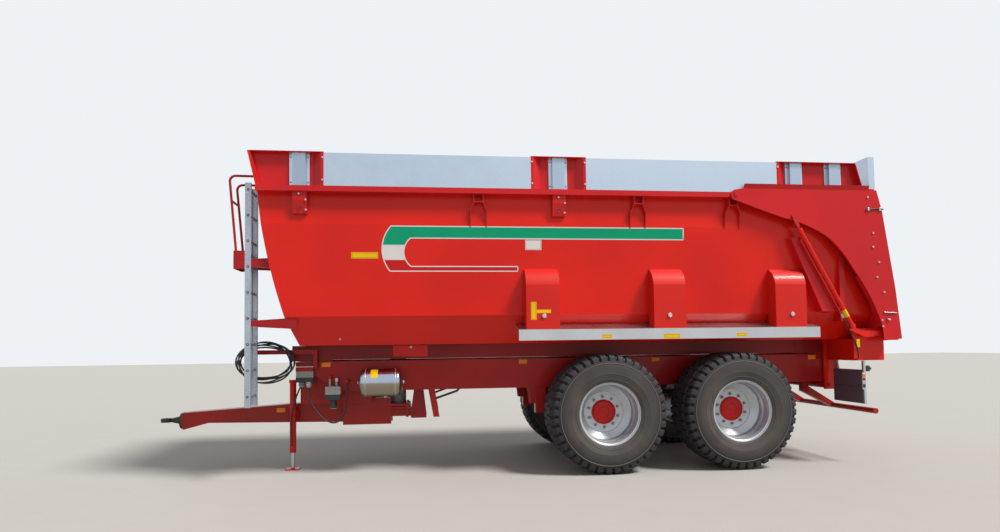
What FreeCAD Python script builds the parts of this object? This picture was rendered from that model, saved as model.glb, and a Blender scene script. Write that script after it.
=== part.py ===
"""Tandem tipping trailer: a hollow steel body on a two-axle chassis, tipped to the rear by a
telescopic cylinder, with a rising tailgate hung from side ears, a ladder and a parking jack.

Frame: millimetres, +X to the rear, -X towards the towing eye, +Z up, the ground at Z = 0 and the
origin under the middle of the overall length.
"""
import FreeCAD, Part
import Sketcher
import math
import os
import re

Vector = FreeCAD.Vector
Rotation = FreeCAD.Rotation

doc = FreeCAD.newDocument("tandem_tipping_trailer")
sheet = doc.addObject("Spreadsheet::Sheet", "Sizes")

# Driving dimensions: name, value in mm (or degrees, or a count), meaning
SIZES = [
    ("FrontAxleX", 840, "front axle behind the middle of the trailer"),
    ("AxleSpacing", 1550, "between the two axles"),
    ("TyreDiameter", 1340, "tyre outside diameter"),
    ("TyreWidth", 600, "tyre section width"),
    ("TrackWidth", 1940, "between the wheel centres across"),
    ("RimDiameter", 704, "rim flange diameter"),
    ("RimWidth", 524, "over the rim flanges"),
    ("RimWall", 9, "rim metal"),
    ("DiscInset", 290, "wheel disc inside the outer rim flange"),
    ("HubRadius", 125, "hub cap radius"),
    ("HubReach", 15, "hub cap outside the wheel disc"),
    ("DrumRadius", 205, "brake drum radius"),
    ("DrumWidth", 170, "brake drum width"),
    ("SpindleRadius", 45, "axle spindle radius"),
    ("AxleSection", 130, "square axle tube"),
    ("RunGap", 0.3, "running clearance on pins and shafts"),
    ("FrameTop", 1290, "top of the chassis rails"),
    ("FrameDepth", 350, "depth of the chassis rails"),
    ("FrameRailWidth", 100, "width of a chassis rail"),
    ("FrameSpacing", 1000, "between the rail centres"),
    ("FrameFrontX", -2490, "front end of the rails"),
    ("FrameRearX", 3960, "rear end of the rails"),
    ("SpringWidth", 80, "leaf spring width"),
    ("SpringLeaf", 14, "thickness of one leaf"),
    ("SpringRadius", 9700, "curvature of the top leaf"),
    ("ChamberRadius", 75, "brake chamber radius"),
    ("ChamberLength", 150, "brake chamber length"),
    ("CrossWidth", 120, "cross member length along X"),
    ("TipHingeX", 3890, "rear tipping hinge"),
    ("TipHingeZ", 900, "rear tipping hinge height"),
    ("TipPinRadius", 25, "tipping hinge pin radius"),
    ("TipTubeRadius", 45, "tipping hinge cross tube radius"),
    ("HingeArmPlate", 20, "tipping hinge arm plate"),
    ("SubFrameGap", 20, "body rails above the chassis rails when lowered"),
    ("Plate", 6, "body sheet"),
    ("FloorZ", 1475, "underside of the body floor"),
    ("BendZ", 1790, "lower fold of the side walls"),
    ("CreaseZ", 2790, "upper fold of the side walls"),
    ("RailBottom", 3130, "underside of the top rail"),
    ("RailHeight", 60, "top rail height"),
    ("RailHalf", 1220, "outer face of the top rail from the middle"),
    ("RailNarrowX", 3900, "where the rail narrows for the tailgate's flange"),
    ("RailRearHalf", 1150, "outer face of the rail beside the tailgate ears"),
    ("RailStep", 180, "the rail narrows this far behind the tailgate pivot"),
    ("TopHalf", 1115, "side wall at the rail from the middle"),
    ("CreaseHalf", 1135, "side wall at the upper fold"),
    ("BendHalf", 1075, "side wall at the lower fold"),
    ("FloorHalf", 800, "floor edge from the middle"),
    ("TubFrontTopX", -2980, "front wall at the top rail"),
    ("TubFrontFootX", -2600, "front wall at the floor"),
    ("FrontWallRadius", 6400, "curvature of the front wall"),
    ("TubRearTopX", 4040, "side walls end at the top rail"),
    ("TubRearFootX", 4280, "side walls end at the floor"),
    ("BoardHeight", 375, "extension boards above the rail"),
    ("BoardThickness", 25, "extension board"),
    ("BoardEnd", 78, "end flange of the tailgate's board"),
    ("PostHalf", 1205, "outer face of the extension trays from the middle"),
    ("TrayDepth", 75, "depth of the extension trays"),
    ("TraySheet", 5, "extension tray sheet"),
    ("TrayFlange", 27, "flange beside a tray's opening"),
    ("TraySlope", 96, "length of a tray's sloping side"),
    ("FrontTray", 710, "front tray length"),
    ("MiddleTrayX", -10, "front end of the middle tray"),
    ("MiddleTray", 630, "middle tray length"),
    ("RearTrayX", 2904, "front end of the rear tray"),
    ("UprightWidth", 212, "aluminium upright in a tray"),
    ("UprightDepth", 43, "aluminium upright depth"),
    ("UprightFlange", 30, "bolted flange of an upright"),
    ("UprightSheet", 4, "aluminium upright wall"),
    ("FenderHalf", 1270, "fender lip from the middle"),
    ("FenderLipBottom", 1500, "fender lip lower edge"),
    ("FenderLipTop", 1620, "fender lip upper edge"),
    ("FenderInnerZ", 1690, "fender top plate at the body"),
    ("FenderInnerHalf", 990, "fender top plate inner edge from the middle"),
    ("FenderFrontX", -180, "fender front end"),
    ("FenderRearX", 3340, "fender rear end"),
    ("FenderSheet", 5, "fender sheet"),
    ("RibHalf", 1200, "face of the diagonal ribs from the middle"),
    ("UprightRibHalf", 1145, "face of the upright ribs from the middle"),
    ("GussetNeck", 112, "gusset width at the rail"),
    ("GussetFoot", 190, "gusset width at the fold"),
    ("GussetSheet", 10, "gusset strip"),
    ("GussetHalf", 1195, "gusset face at the rail from the middle"),
    ("SocketWidth", 150, "stake socket width"),
    ("SocketDrop", 235, "stake socket below the rail"),
    ("MountHalf", 1250, "fender mount outer face from the middle"),
    ("MountTop", 2306, "fender mount top"),
    ("MountWidth", 376, "fender mount length along X"),
    ("DoorPivotX", 2382, "tailgate pivot"),
    ("DoorPivotZ", 3164, "tailgate pivot height"),
    ("DoorPinRadius", 25, "tailgate pivot pin radius"),
    ("EarHalf", 1231, "inner face of the tailgate ears from the middle"),
    ("EarPlate", 8, "tailgate ear plate"),
    ("EarFlange", 70, "flange along the ear's curved edge"),
    ("EarLip", 50, "inclined lip on the ear's top edge"),
    ("DoorPlate", 60, "tailgate door thickness"),
    ("DoorSheet", 6, "tailgate door sheet"),
    ("DoorRib", 90, "width of the ribs on the tailgate door"),
    ("DoorGap", 8, "door in front of the side wall ends"),
    ("DoorPinBore", 15, "door cylinder pins"),
    ("ForkGap", 7, "rod fork beside the ear plate"),
    ("ForkPlate", 10, "rod fork leg"),
    ("ForkDepth", 105, "rod fork throat below its pin"),
    ("DoorEyeX", 3065, "upper pin of the door cylinder"),
    ("DoorEyeZ", 2905, "upper pin of the door cylinder"),
    ("DoorBaseX", 3765, "lower pin of the door cylinder"),
    ("DoorBaseZ", 1625, "lower pin of the door cylinder"),
    ("DoorBarrelRadius", 27, "door cylinder barrel radius"),
    ("DoorRodRadius", 15, "door cylinder rod radius"),
    ("DoorPipeRadius", 9, "oil pipe beside the door cylinder"),
    ("DoorPipeGap", 50, "oil pipe from the door cylinder's axis"),
    ("SillDepth", 73, "rear sill below the top of the chassis rails"),
    ("LockPivotX", 3970, "lock lever pivot"),
    ("LockPivotZ", 1540, "lock lever pivot height"),
    ("TipBaseX", -1550, "tipping cylinder axis"),
    ("TipTrunnionZ", 1190, "tipping cylinder trunnion height"),
    ("TipBarrelBottom", 640, "tipping cylinder lower end"),
    ("TipBarrelTop", 1330, "tipping cylinder upper end"),
    ("TipBarrelRadius", 100, "tipping cylinder barrel radius"),
    ("TipStages", 7, "moving stages"),
    ("TipStageStep", 11, "radius step from stage to stage"),
    ("TipBallRadius", 34, "ball head of the last stage"),
    ("EyeTipX", -4390, "foremost point of the towing eye"),
    ("EyeRadius", 62, "towing eye outer radius"),
    ("EyeBore", 25, "towing eye bore radius"),
    ("EyeThickness", 45, "towing eye thickness"),
    ("EyeZ", 595, "towing eye height"),
    ("DrawbarFrontX", -4105, "front end of the drawbar beam"),
    ("DrawbarRearX", -1330, "cross member above the drawbar's rear end"),
    ("DrawbarPinX", -1352, "drawbar pivot pin"),
    ("DrawbarPinZ", 606, "drawbar pivot pin height"),
    ("DrawbarPinRadius", 16, "drawbar pivot pin radius"),
    ("DrawbarLeaf", 34, "drawbar spring leaf"),
    ("DrawbarSpringIn", 115, "inner side of the drawbar springs from the middle"),
    ("DrawbarSpringWidth", 70, "drawbar spring width"),
    ("HangerPlate", 12, "drawbar hanger plate"),
    ("DrawbarWidth", 200, "drawbar beam width"),
    ("JackX", -2790, "jack centre"),
    ("JackY", -240, "jack centre"),
    ("JackTubeRadius", 38, "jack tube radius"),
    ("JackLegRadius", 25, "jack leg radius"),
    ("TankX", -1708, "air tank centre"),
    ("TankLength", 504, "air tank length"),
    ("TankRadius", 160, "air tank radius"),
    ("TankZ", 1045, "air tank height"),
    ("TankDome", 62, "height of the tank's domed ends"),
    ("LadderX", -3091, "ladder rail centre"),
    ("LadderY", -1050, "outer ladder rail centre"),
    ("LadderWidth", 260, "between the ladder rails"),
    ("LadderBottom", 817, "ladder lower end"),
    ("LadderTop", 3250, "ladder upper end"),
    ("RungPitch", 280, "between rungs"),
    ("LadderRailDepth", 64, "ladder rail section along X"),
    ("LadderRailWidth", 24, "ladder rail section across"),
    ("LadderWall", 3, "ladder rail wall"),
    ("StepTopZ", 2508, "top of the step in front of the ladder"),
    ("HandrailRadius", 13, "handrail tube radius"),
    ("HandrailTopX", -3290, "upper corner of the handrails"),
    ("HandrailFootX", -3216, "foot of the handrails on the step"),
    ("UnderrunX", 4090, "underrun bar centre"),
    ("UnderrunZ", 620, "underrun bar height"),
    ("UnderrunHalf", 1150, "underrun bar end from the middle"),
    ("UnderrunRadius", 33, "underrun bar radius"),
    ("FlapX", 3912, "mud flap"),
    ("FlapInner", 650, "inner edge of a mud flap from the middle"),
    ("FlapWidth", 522, "mud flap width"),
    ("FlapBottom", 710, "mud flap lower edge"),
    ("FlapHeight", 400, "mud flap height"),
    ("HoseRadius", 9, "hydraulic hose radius"),
    ("CoilX", -3010, "middle of the hose coil"),
    ("CoilZ", 1290, "middle of the hose coil"),
    ("CoilY", -660, "middle plane of the hose coil"),
    ("CoilHalfLength", 350, "hose coil half length"),
    ("CoilHalfHeight", 255, "hose coil half height"),
    ("CoilBand", 95, "width of the wound band"),
    ("CoilThickness", 90, "hose coil thickness"),
]
for row, (alias, number, meaning) in enumerate(SIZES, start=1):
    sheet.set(f"A{row}", alias)
    sheet.set(f"B{row}", str(number))
    sheet.set(f"C{row}", meaning)
    sheet.setAlias(f"B{row}", alias)
doc.recompute()

NAMES = re.compile(r"\b(" + "|".join(alias for alias, _, _ in SIZES) + r")\b")


def bound(text):
    """An expression in the sheet's names, such as "FrameTop - 20", as FreeCAD writes it."""
    return NAMES.sub(r"Sizes.\1", str(text))


def number(text):
    """The value of such an expression now, in millimetres."""
    result = sheet.evalExpression(bound(text))
    return float(getattr(result, "Value", result))


def place(thing, x=0, y=0, z=0):
    """Binds an object's position to expressions."""
    for axis, text in zip("xyz", (x, y, z)):
        thing.setExpression(f"Placement.Base.{axis}", bound(text))
    return thing


def box(name, x, y, z, length, width, height):
    """A block from its lowest corner."""
    block = place(doc.addObject("Part::Box", name), x, y, z)
    block.setExpression("Length", bound(length))
    block.setExpression("Width", bound(width))
    block.setExpression("Height", bound(height))
    return block


TURNS = {"z": Rotation(), "x": Rotation(Vector(0, 1, 0), 90), "y": Rotation(Vector(1, 0, 0), -90)}


def rod(name, axis, x, y, z, radius, height):
    """A cylinder that starts at a point and runs along +X, +Y or +Z."""
    round_bar = doc.addObject("Part::Cylinder", name)
    round_bar.Placement.Rotation = TURNS[axis]
    place(round_bar, x, y, z)
    round_bar.setExpression("Radius", bound(radius))
    round_bar.setExpression("Height", bound(height))
    return round_bar


def fuse(name, pieces):
    """One solid from pieces that meet."""
    joined = doc.addObject("Part::MultiFuse", name)
    joined.Shapes = list(pieces)
    joined.Refine = True
    return joined


def together(name, pieces):
    """Like pieces that don't touch, kept as one sub-part."""
    group = doc.addObject("Part::Compound", name)
    group.Links = list(pieces)
    return group


def cut(name, base, tool):
    taken = doc.addObject("Part::Cut", name)
    taken.Base = base
    taken.Tool = tool
    return taken


def common(name, first, second):
    shared = doc.addObject("Part::Common", name)
    shared.Base = first
    shared.Tool = second
    return shared


def mirrored(name, source):
    """The same piece on the other side of the trailer."""
    twin = doc.addObject("Part::Mirroring", name)
    twin.Source = source
    twin.Normal = Vector(0, 1, 0)
    return twin


def outline(body, name, plane_role, offset, points):
    """A closed sketch. A point is (x, y), or (x, y, radius) when an arc leads to it from the point
    before: a positive radius has its centre on the left of the way, a negative one on the right."""
    sketch = body.newObject("Sketcher::SketchObject", name)
    plane = next(item for item in body.Origin.OriginFeatures if item.Role == plane_role)
    sketch.AttachmentSupport = [(plane, "")]
    sketch.MapMode = "FlatFace"
    sketch.setExpression("AttachmentOffset.Base.z", bound(offset))
    corners = [Vector(number(point[0]), number(point[1]), 0) for point in points]
    ends = []
    for index, point in enumerate(points):
        start, stop = corners[index - 1], corners[index]
        if len(point) == 2:
            sketch.addGeometry(Part.LineSegment(start, stop), False)
            ends.append((1, 2))
            continue
        radius = number(point[2])
        half = (stop - start) * 0.5
        left = Vector(-half.y, half.x, 0) / half.Length
        rise = math.copysign(math.sqrt(max(radius**2 - half.Length**2, 0)), radius)
        centre = start + half + left * rise
        first, last = (start, stop) if radius > 0 else (stop, start)
        angles = [math.atan2(end.y - centre.y, end.x - centre.x) for end in (first, last)]
        if angles[1] <= angles[0]:
            angles[1] += 2 * math.pi
        circle = Part.Circle(centre, Vector(0, 0, 1), abs(radius))
        sketch.addGeometry(Part.ArcOfCircle(circle, angles[0], angles[1]), False)
        ends.append((1, 2) if radius > 0 else (2, 1))
    for index in range(len(points)):
        after = (index + 1) % len(points)
        sketch.addConstraint(
            Sketcher.Constraint("Coincident", index, ends[index][1], after, ends[after][0])
        )
    for index, point in enumerate(points):
        for kind, text, now in zip(("DistanceX", "DistanceY"), point, corners[index]):
            which = sketch.addConstraint(
                Sketcher.Constraint(kind, -1, 1, index, ends[index][1], now)
            )
            sketch.setExpression(f"Constraints[{which}]", bound(text))
        if len(point) == 3:
            which = sketch.addConstraint(Sketcher.Constraint("Radius", index, abs(number(point[2]))))
            sketch.setExpression(f"Constraints[{which}]", bound(f"abs({point[2]})"))
    return sketch


def padded(name, plane, start, thickness, points):
    """A body: an outline on XY, XZ or YZ, moved by start along the plane's normal (+Z, -Y, +X)."""
    body = doc.addObject("PartDesign::Body", name)
    sketch = outline(body, name + "_outline", plane + "_Plane", start, points)
    pad = body.newObject("PartDesign::Pad", name + "_pad")
    pad.Profile = sketch
    pad.setExpression("Length", bound(thickness))
    return body


def turned(name, points):
    """A body of revolution about Y: the outline's first coordinate is the radius, along X, and
    the second is the distance along +Y from the body's own middle."""
    body = doc.addObject("PartDesign::Body", name)
    sketch = outline(body, name + "_outline", "XY_Plane", 0, points)
    spin = body.newObject("PartDesign::Revolution", name + "_turn")
    spin.Profile = sketch
    spin.ReferenceAxis = (sketch, ["V_Axis"])
    spin.Angle = 360
    return body


def tube_path(points, bend):
    """Straight runs joined by tangent arcs of one radius (shortened where a run is too short)."""
    edges = []
    here = points[0]
    for before, corner, after in zip(points, points[1:], points[2:]):
        into = (corner - before).normalize()
        out = (after - corner).normalize()
        turn = into.getAngle(out)
        reach = bend * math.tan(turn / 2)
        start, stop = corner - into * reach, corner + out * reach
        middle_way = (out - into).normalize()
        middle = corner + middle_way * (bend / math.cos(turn / 2) - bend)
        edges.append(Part.LineSegment(here, start).toShape())
        edges.append(Part.Arc(start, middle, stop).toShape())
        here = stop
    edges.append(Part.LineSegment(here, points[-1]).toShape())
    return Part.Wire(edges)


def tube(name, points, radius, bend):
    """A round bar or hose along straight runs and arcs."""
    vectors = [Vector(*(number(text) for text in point)) for point in points]
    path = tube_path(vectors, number(bend))
    ring = Part.Wire(Part.Circle(vectors[0], vectors[1] - vectors[0], number(radius)).toShape())
    feature = doc.addObject("Part::Feature", name)
    feature.Shape = path.makePipeShell([ring], True, False)
    return feature


def both_sides(name, source):
    """A piece and its mirror image, as two solids."""
    return together(name, [source, mirrored(name + "_mirrored", source)])


SUBPARTS = []


def keep(thing, label):
    """Names a finished sub-part; the label is also the name of its file."""
    thing.Label = label
    SUBPARTS.append(thing)
    return thing


# ---------------------------------------------------------------- chassis
SEAT_TOP = "FrameTop - FrameDepth * 0.7"


def chassis_frame():
    rail_inner = "FrameSpacing / 2 - FrameRailWidth / 2"
    rail_outer = "FrameSpacing / 2 + FrameRailWidth / 2"
    bottom = "FrameTop - FrameDepth"
    cross_bottom = "FrameTop - FrameDepth * 0.7"
    rail = padded("frame_rail", "XZ", rail_inner, "FrameRailWidth", [
        ("FrameFrontX", "FrameTop"),
        ("FrameFrontX", "FrameTop - FrameDepth * 0.45"),
        ("FrameFrontX + FrameDepth * 0.9", bottom),
        ("FrameRearX", bottom),
        ("FrameRearX", "FrameTop"),
    ])
    pieces = [rail, mirrored("frame_rail_right", rail)]
    cross_x = [
        "FrameFrontX",
        "TipBaseX - TipBarrelRadius - CrossWidth - 110",
        "DrawbarRearX - 40",
        "FrontAxleX - AxleSpacing / 2",
        "FrontAxleX + AxleSpacing / 2 - CrossWidth / 2",
        "FrontAxleX + AxleSpacing * 1.5 - CrossWidth",
    ]
    for index, start in enumerate(cross_x):
        pieces.append(box(f"frame_cross_{index}", start, f"-({rail_inner}) - 1",
                          "FrameTop - FrameDepth * 0.7", "CrossWidth",
                          f"2 * ({rail_inner}) + 2", "FrameDepth * 0.5"))
    # hinge tube under the rear end of the rails, with its pins
    pieces.append(rod("hinge_tube", "y", "TipHingeX", f"-({rail_outer} + 10)", "TipHingeZ",
                      "TipTubeRadius", f"2 * ({rail_outer} + 10)"))
    pieces.append(rod("hinge_pin", "y", "TipHingeX",
                      f"-({rail_outer} + 25 + HingeArmPlate)", "TipHingeZ", "TipPinRadius",
                      f"2 * ({rail_outer} + 25 + HingeArmPlate)"))
    # trunnion bearings of the tipping cylinder
    for side in (-1, 1):
        pieces.append(cut(f"trunnion_block_{side}",
            box(f"trunnion_plate_{side}", "TipBaseX - 215",
                f"{side} * (TipBarrelRadius + 55) - 15", "TipTrunnionZ - 60", "400", "30", "120"),
            rod(f"trunnion_hole_{side}", "y", "TipBaseX", f"{side} * (TipBarrelRadius + 55) - 30",
                "TipTrunnionZ", "30 + RunGap", "60")))
    # suspension hangers in front of, between and behind the axles
    for index, start in enumerate((
        "FrontAxleX - AxleSpacing / 2 - 40", "FrontAxleX + AxleSpacing / 2 - 60",
        "FrontAxleX + AxleSpacing * 1.5 - 60")):
        for which, inner in enumerate(("SpringWidth / 2 + RunGap", "-SpringWidth / 2 - RunGap - 10")):
            hanger = padded(f"hanger_{index}_{which}", "XZ", f"FrameSpacing / 2 + {inner}", 10, [
                (start, f"{bottom} + 1"), (f"{start} + 120", f"{bottom} + 1"),
                (f"{start} + 95", f"{bottom} - 190"), (f"{start} + 25", f"{bottom} - 190"),
            ])
            pieces += [hanger, mirrored(f"hanger_right_{index}_{which}", hanger)]
    # drawbar hangers below the second cross member, with the pivot pin of the springs
    hanger_outline = [
        ("DrawbarPinX + 22", f"{cross_bottom} + 1"), ("DrawbarPinX - 14", "DrawbarPinZ + 190"),
        ("DrawbarPinX - 44", "DrawbarPinZ + 20"), ("DrawbarPinX - 30", "DrawbarPinZ - 34"),
        ("DrawbarPinX + 156", "DrawbarPinZ - 34"), ("DrawbarPinX + 102", f"{cross_bottom} + 1"),
    ]
    for which, inner in enumerate(("DrawbarSpringIn - HangerPlate - 3",
                                   "DrawbarSpringIn + DrawbarSpringWidth + 3")):
        plate = padded(f"drawbar_hanger_{which}", "XZ", inner, "HangerPlate", hanger_outline)
        pieces += [plate, mirrored(f"drawbar_hanger_right_{which}", plate)]
    for side in (-1, 1):
        start = "DrawbarSpringIn - HangerPlate - 12"
        if side < 0:
            start = "-(DrawbarSpringIn + DrawbarSpringWidth + HangerPlate + 12)"
        pieces.append(rod(f"drawbar_pin_{side}", "y", "DrawbarPinX", start, "DrawbarPinZ",
                          "DrawbarPinRadius", "DrawbarSpringWidth + 2 * HangerPlate + 24"))
    # arm that carries the coiled hoses
    arm_z = "CoilZ + CoilHalfHeight - CoilBand - 70"
    arm_y = "CoilY + CoilThickness / 2"
    pieces.append(box("coil_arm", "CoilX - 160", arm_y, arm_z, "FrameFrontX + 40 - (CoilX - 160)",
                      30, 50))
    pieces.append(box("coil_post", "FrameFrontX + 2", arm_y, "FrameTop - 80", 48, 30,
                      f"{arm_z} + 50 - FrameTop + 80"))
    pieces.append(box("coil_foot", "FrameFrontX + 2", arm_y, "FrameTop - 80", 48,
                      f"-({arm_y}) - {rail_outer} + 1", 70))
    # bracket in which the brake hose ends
    pieces.append(box("hose_bracket", -2125, -660, 1050, 40, f"661 - ({rail_outer})", 30))
    for side in (-1, 1):
        pieces.append(rod(f"coil_peg_{side}", "y", f"CoilX + {side} * CoilHalfLength * 0.34",
                          "CoilY - CoilThickness / 2 - 15", "CoilZ + (CoilHalfHeight - CoilBand) * 0.8",
                          12, "CoilThickness + 30"))
    keep(fuse("chassis_frame", pieces), "chassis_frame")


def drawbar():
    """A tapered beam, two box cheeks that pass the tipping cylinder, and behind them leaf springs
    whose lowest leaves turn round the pins of the rear hangers."""
    cheek_front = "FrameFrontX + 280"
    cheek_rear = "TipBaseX - TipBarrelRadius + 20"
    spring_out = "DrawbarSpringIn + DrawbarSpringWidth"
    low, high = "DrawbarPinZ - 100", "DrawbarPinZ + 222"
    beam = padded("drawbar_beam", "XZ", "-DrawbarWidth / 2", "DrawbarWidth", [
        ("DrawbarFrontX", "EyeZ - 110"), ("DrawbarFrontX", "EyeZ + 92"),
        (f"{cheek_front} + 40", "EyeZ + 215"), (f"{cheek_front} + 40", "EyeZ - 60"),
        ("DrawbarFrontX + 295", "EyeZ - 33"),
    ])
    cheek = cut("cheek_tube",
                box("cheek_outer", cheek_front, "DrawbarSpringIn", low,
                    f"{cheek_rear} - ({cheek_front})", "DrawbarSpringWidth", f"{high} - ({low})"),
                box("cheek_hollow", f"{cheek_front} - 1", "DrawbarSpringIn + HangerPlate",
                    f"{low} + 10", f"{cheek_rear} - ({cheek_front}) - 20",
                    "DrawbarSpringWidth - 2 * HangerPlate", f"{high} - ({low}) - 20"))
    floor = box("drawbar_floor", cheek_front, "-DrawbarSpringIn - 1", low,
                f"{cheek_rear} - ({cheek_front}) - 60", "2 * DrawbarSpringIn + 2", 12)
    front = box("drawbar_front", cheek_front, f"-({spring_out})", low, 14, f"2 * ({spring_out})",
                f"{high} - ({low})")
    flange = rod("drawbar_flange", "x", "DrawbarFrontX - 20", 0, "EyeZ - 9", 104, 21)
    seat = padded("drawbar_seat", "XZ", -90, 180, [
        ("FrameFrontX - 20", "EyeZ + 150"), ("FrameFrontX + 5", f"{SEAT_TOP} - RunGap"),
        ("FrameFrontX + 115", f"{SEAT_TOP} - RunGap"), ("FrameFrontX + 140", "EyeZ + 150"),
    ])
    springs = []
    for index in range(4):
        height = f"DrawbarPinZ - 9 + {index} * (DrawbarLeaf + 6)"
        springs.append(box(f"drawbar_leaf_{index}", f"{cheek_rear} - 12", "DrawbarSpringIn", height,
                           f"DrawbarPinX - 35 - {index} * 4 - ({cheek_rear} - 12)",
                           "DrawbarSpringWidth", "DrawbarLeaf"))
    springs.append(box("drawbar_clamp", "DrawbarPinX - 96", "DrawbarSpringIn - 3",
                       "DrawbarPinZ - 22", 32, "DrawbarSpringWidth + 6", "4 * DrawbarLeaf + 45"))
    springs.append(rod("drawbar_spring_eye", "y", "DrawbarPinX", "DrawbarSpringIn", "DrawbarPinZ",
                       "DrawbarPinRadius + 22", "DrawbarSpringWidth"))
    pack = cut("drawbar_spring", fuse("drawbar_leaves", springs),
               rod("drawbar_eye_bore", "y", "DrawbarPinX", "DrawbarSpringIn - 20", "DrawbarPinZ",
                   "DrawbarPinRadius + RunGap", "DrawbarSpringWidth + 40"))
    half = fuse("drawbar_half", [cheek, pack])
    keep(fuse("drawbar", [beam, half, mirrored("drawbar_half_right", half), floor, front, flange,
                          seat]), "drawbar")


def towing_eye():
    """A forged ring on a tapered shank, with the round flange that bolts it to the drawbar."""
    centre = "EyeTipX + EyeRadius"
    flange_front = "DrawbarFrontX - 45"
    ring = rod("eye_ring", "z", centre, 0, "EyeZ - EyeThickness / 2", "EyeRadius", "EyeThickness")
    shank = doc.addObject("Part::Cone", "eye_shank")
    shank.Placement.Rotation = TURNS["x"]
    place(shank, f"{centre} + EyeRadius * 0.8", 0, "EyeZ")
    shank.setExpression("Radius1", bound("EyeThickness / 2 - 1"))
    shank.setExpression("Radius2", "52")
    shank.setExpression("Height", bound(f"{flange_front} - ({centre}) - EyeRadius * 0.8 + 1"))
    flange = rod("eye_flange", "x", flange_front, 0, "EyeZ - 9", 96, "25 - RunGap")
    hole = rod("eye_hole", "z", centre, 0, "EyeZ - 100", "EyeBore", 200)
    keep(cut("towing_eye", fuse("eye_forging", [ring, shank, flange]), hole), "towing_eye")


def jack():
    holder = box("jack_holder", "JackX - 45", "JackY + JackTubeRadius - 8", "EyeZ + 10", 90,
                 "-DrawbarWidth / 2 - JackY - JackTubeRadius + 8", 90)
    outer = rod("jack_outer", "z", "JackX", "JackY", 200, "JackTubeRadius", 850)
    bore = rod("jack_bore", "z", "JackX", "JackY", 190, "JackLegRadius + RunGap", 800)
    boss = box("jack_port", "JackX - 20", "JackY - JackTubeRadius - 42", 235, 40, 50, 50)
    cap = rod("jack_cap", "z", "JackX", "JackY", 1030, "JackTubeRadius + 8", 40)
    keep(cut("jack_tube", fuse("jack_body", [outer, holder, boss, cap]), bore), "jack_tube")
    leg = rod("jack_leg", "z", "JackX", "JackY", 5, "JackLegRadius", 500)
    foot = box("jack_pad", "JackX - 80", "JackY - 70", 0, 160, 140, 14)
    keep(fuse("jack_foot", [leg, foot]), "jack_foot")


def axles():
    for label, centre in (("axle_front", "FrontAxleX"), ("axle_rear", "FrontAxleX + AxleSpacing")):
        square = box(label + "_beam", f"{centre} - AxleSection / 2", "-TrackWidth / 2 + 340",
                     "TyreDiameter / 2 - AxleSection / 2", "AxleSection", "TrackWidth - 680",
                     "AxleSection")
        spindle = rod(label + "_spindle", "y", centre, "-TrackWidth / 2 + 30",
                      "TyreDiameter / 2", "SpindleRadius", "TrackWidth - 60")
        chambers = [rod(f"{label}_chamber_{side}", "x", f"{centre} + AxleSection / 2 - 1",
                        side * 340, "TyreDiameter / 2 + 20", "ChamberRadius", "ChamberLength")
                    for side in (-1, 1)]
        keep(fuse(label, [square, spindle] + chambers), label)
    packs = []
    base = "TyreDiameter / 2 + AxleSection / 2"
    for index, centre in enumerate(("FrontAxleX", "FrontAxleX + AxleSpacing")):
        # the leaves follow concentric curves and end in steps, the shortest leaf lowest
        low, rise_points = [], []
        for leaf in range(5):
            radius = f"(SpringRadius + {5 - leaf} * SpringLeaf)"
            reach = f"(AxleSpacing / 2 - 12) * {(leaf + 2) / 6:.3f}"
            height = f"{base} + {leaf} * SpringLeaf + {radius} - sqrt({radius}^2 - ({reach})^2)"
            low.append((radius, reach, height))
        points = []
        for side in (1, -1):
            for radius, reach, height in low if side > 0 else reversed(low):
                rise_points.append((side, radius, reach, height))
        for step, (side, radius, reach, height) in enumerate(rise_points[:5]):
            if step == 0:
                points.append((f"{centre} - {reach}", height))
                points.append((f"{centre} + {reach}", height, radius))
                continue
            before = low[step - 1][1]
            inner = f"{base} + {step} * SpringLeaf + {radius} - sqrt({radius}^2 - ({before})^2)"
            points.append((f"{centre} + {before}", inner))
            points.append((f"{centre} + {reach}", height, radius))
        top_radius = "SpringRadius"
        reach = low[4][1]
        top = f"{base} + 5 * SpringLeaf + {top_radius} - sqrt({top_radius}^2 - ({reach})^2)"
        points.append((f"{centre} + {reach}", top))
        points.append((f"{centre} - {reach}", top, f"-{top_radius}"))
        for step in range(4, 0, -1):
            radius, reach, height = low[step]
            before = low[step - 1][1]
            inner = f"{base} + {step} * SpringLeaf + {radius} - sqrt({radius}^2 - ({before})^2)"
            points.append((f"{centre} - {reach}", height))
            points.append((f"{centre} - {before}", inner, radius))
        pack = padded(f"spring_{index}", "XZ", "FrameSpacing / 2 - SpringWidth / 2", "SpringWidth",
                      points)
        packs += [pack, mirrored(f"spring_right_{index}", pack)]
    keep(together("suspension_springs", packs), "suspension_springs")


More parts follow.
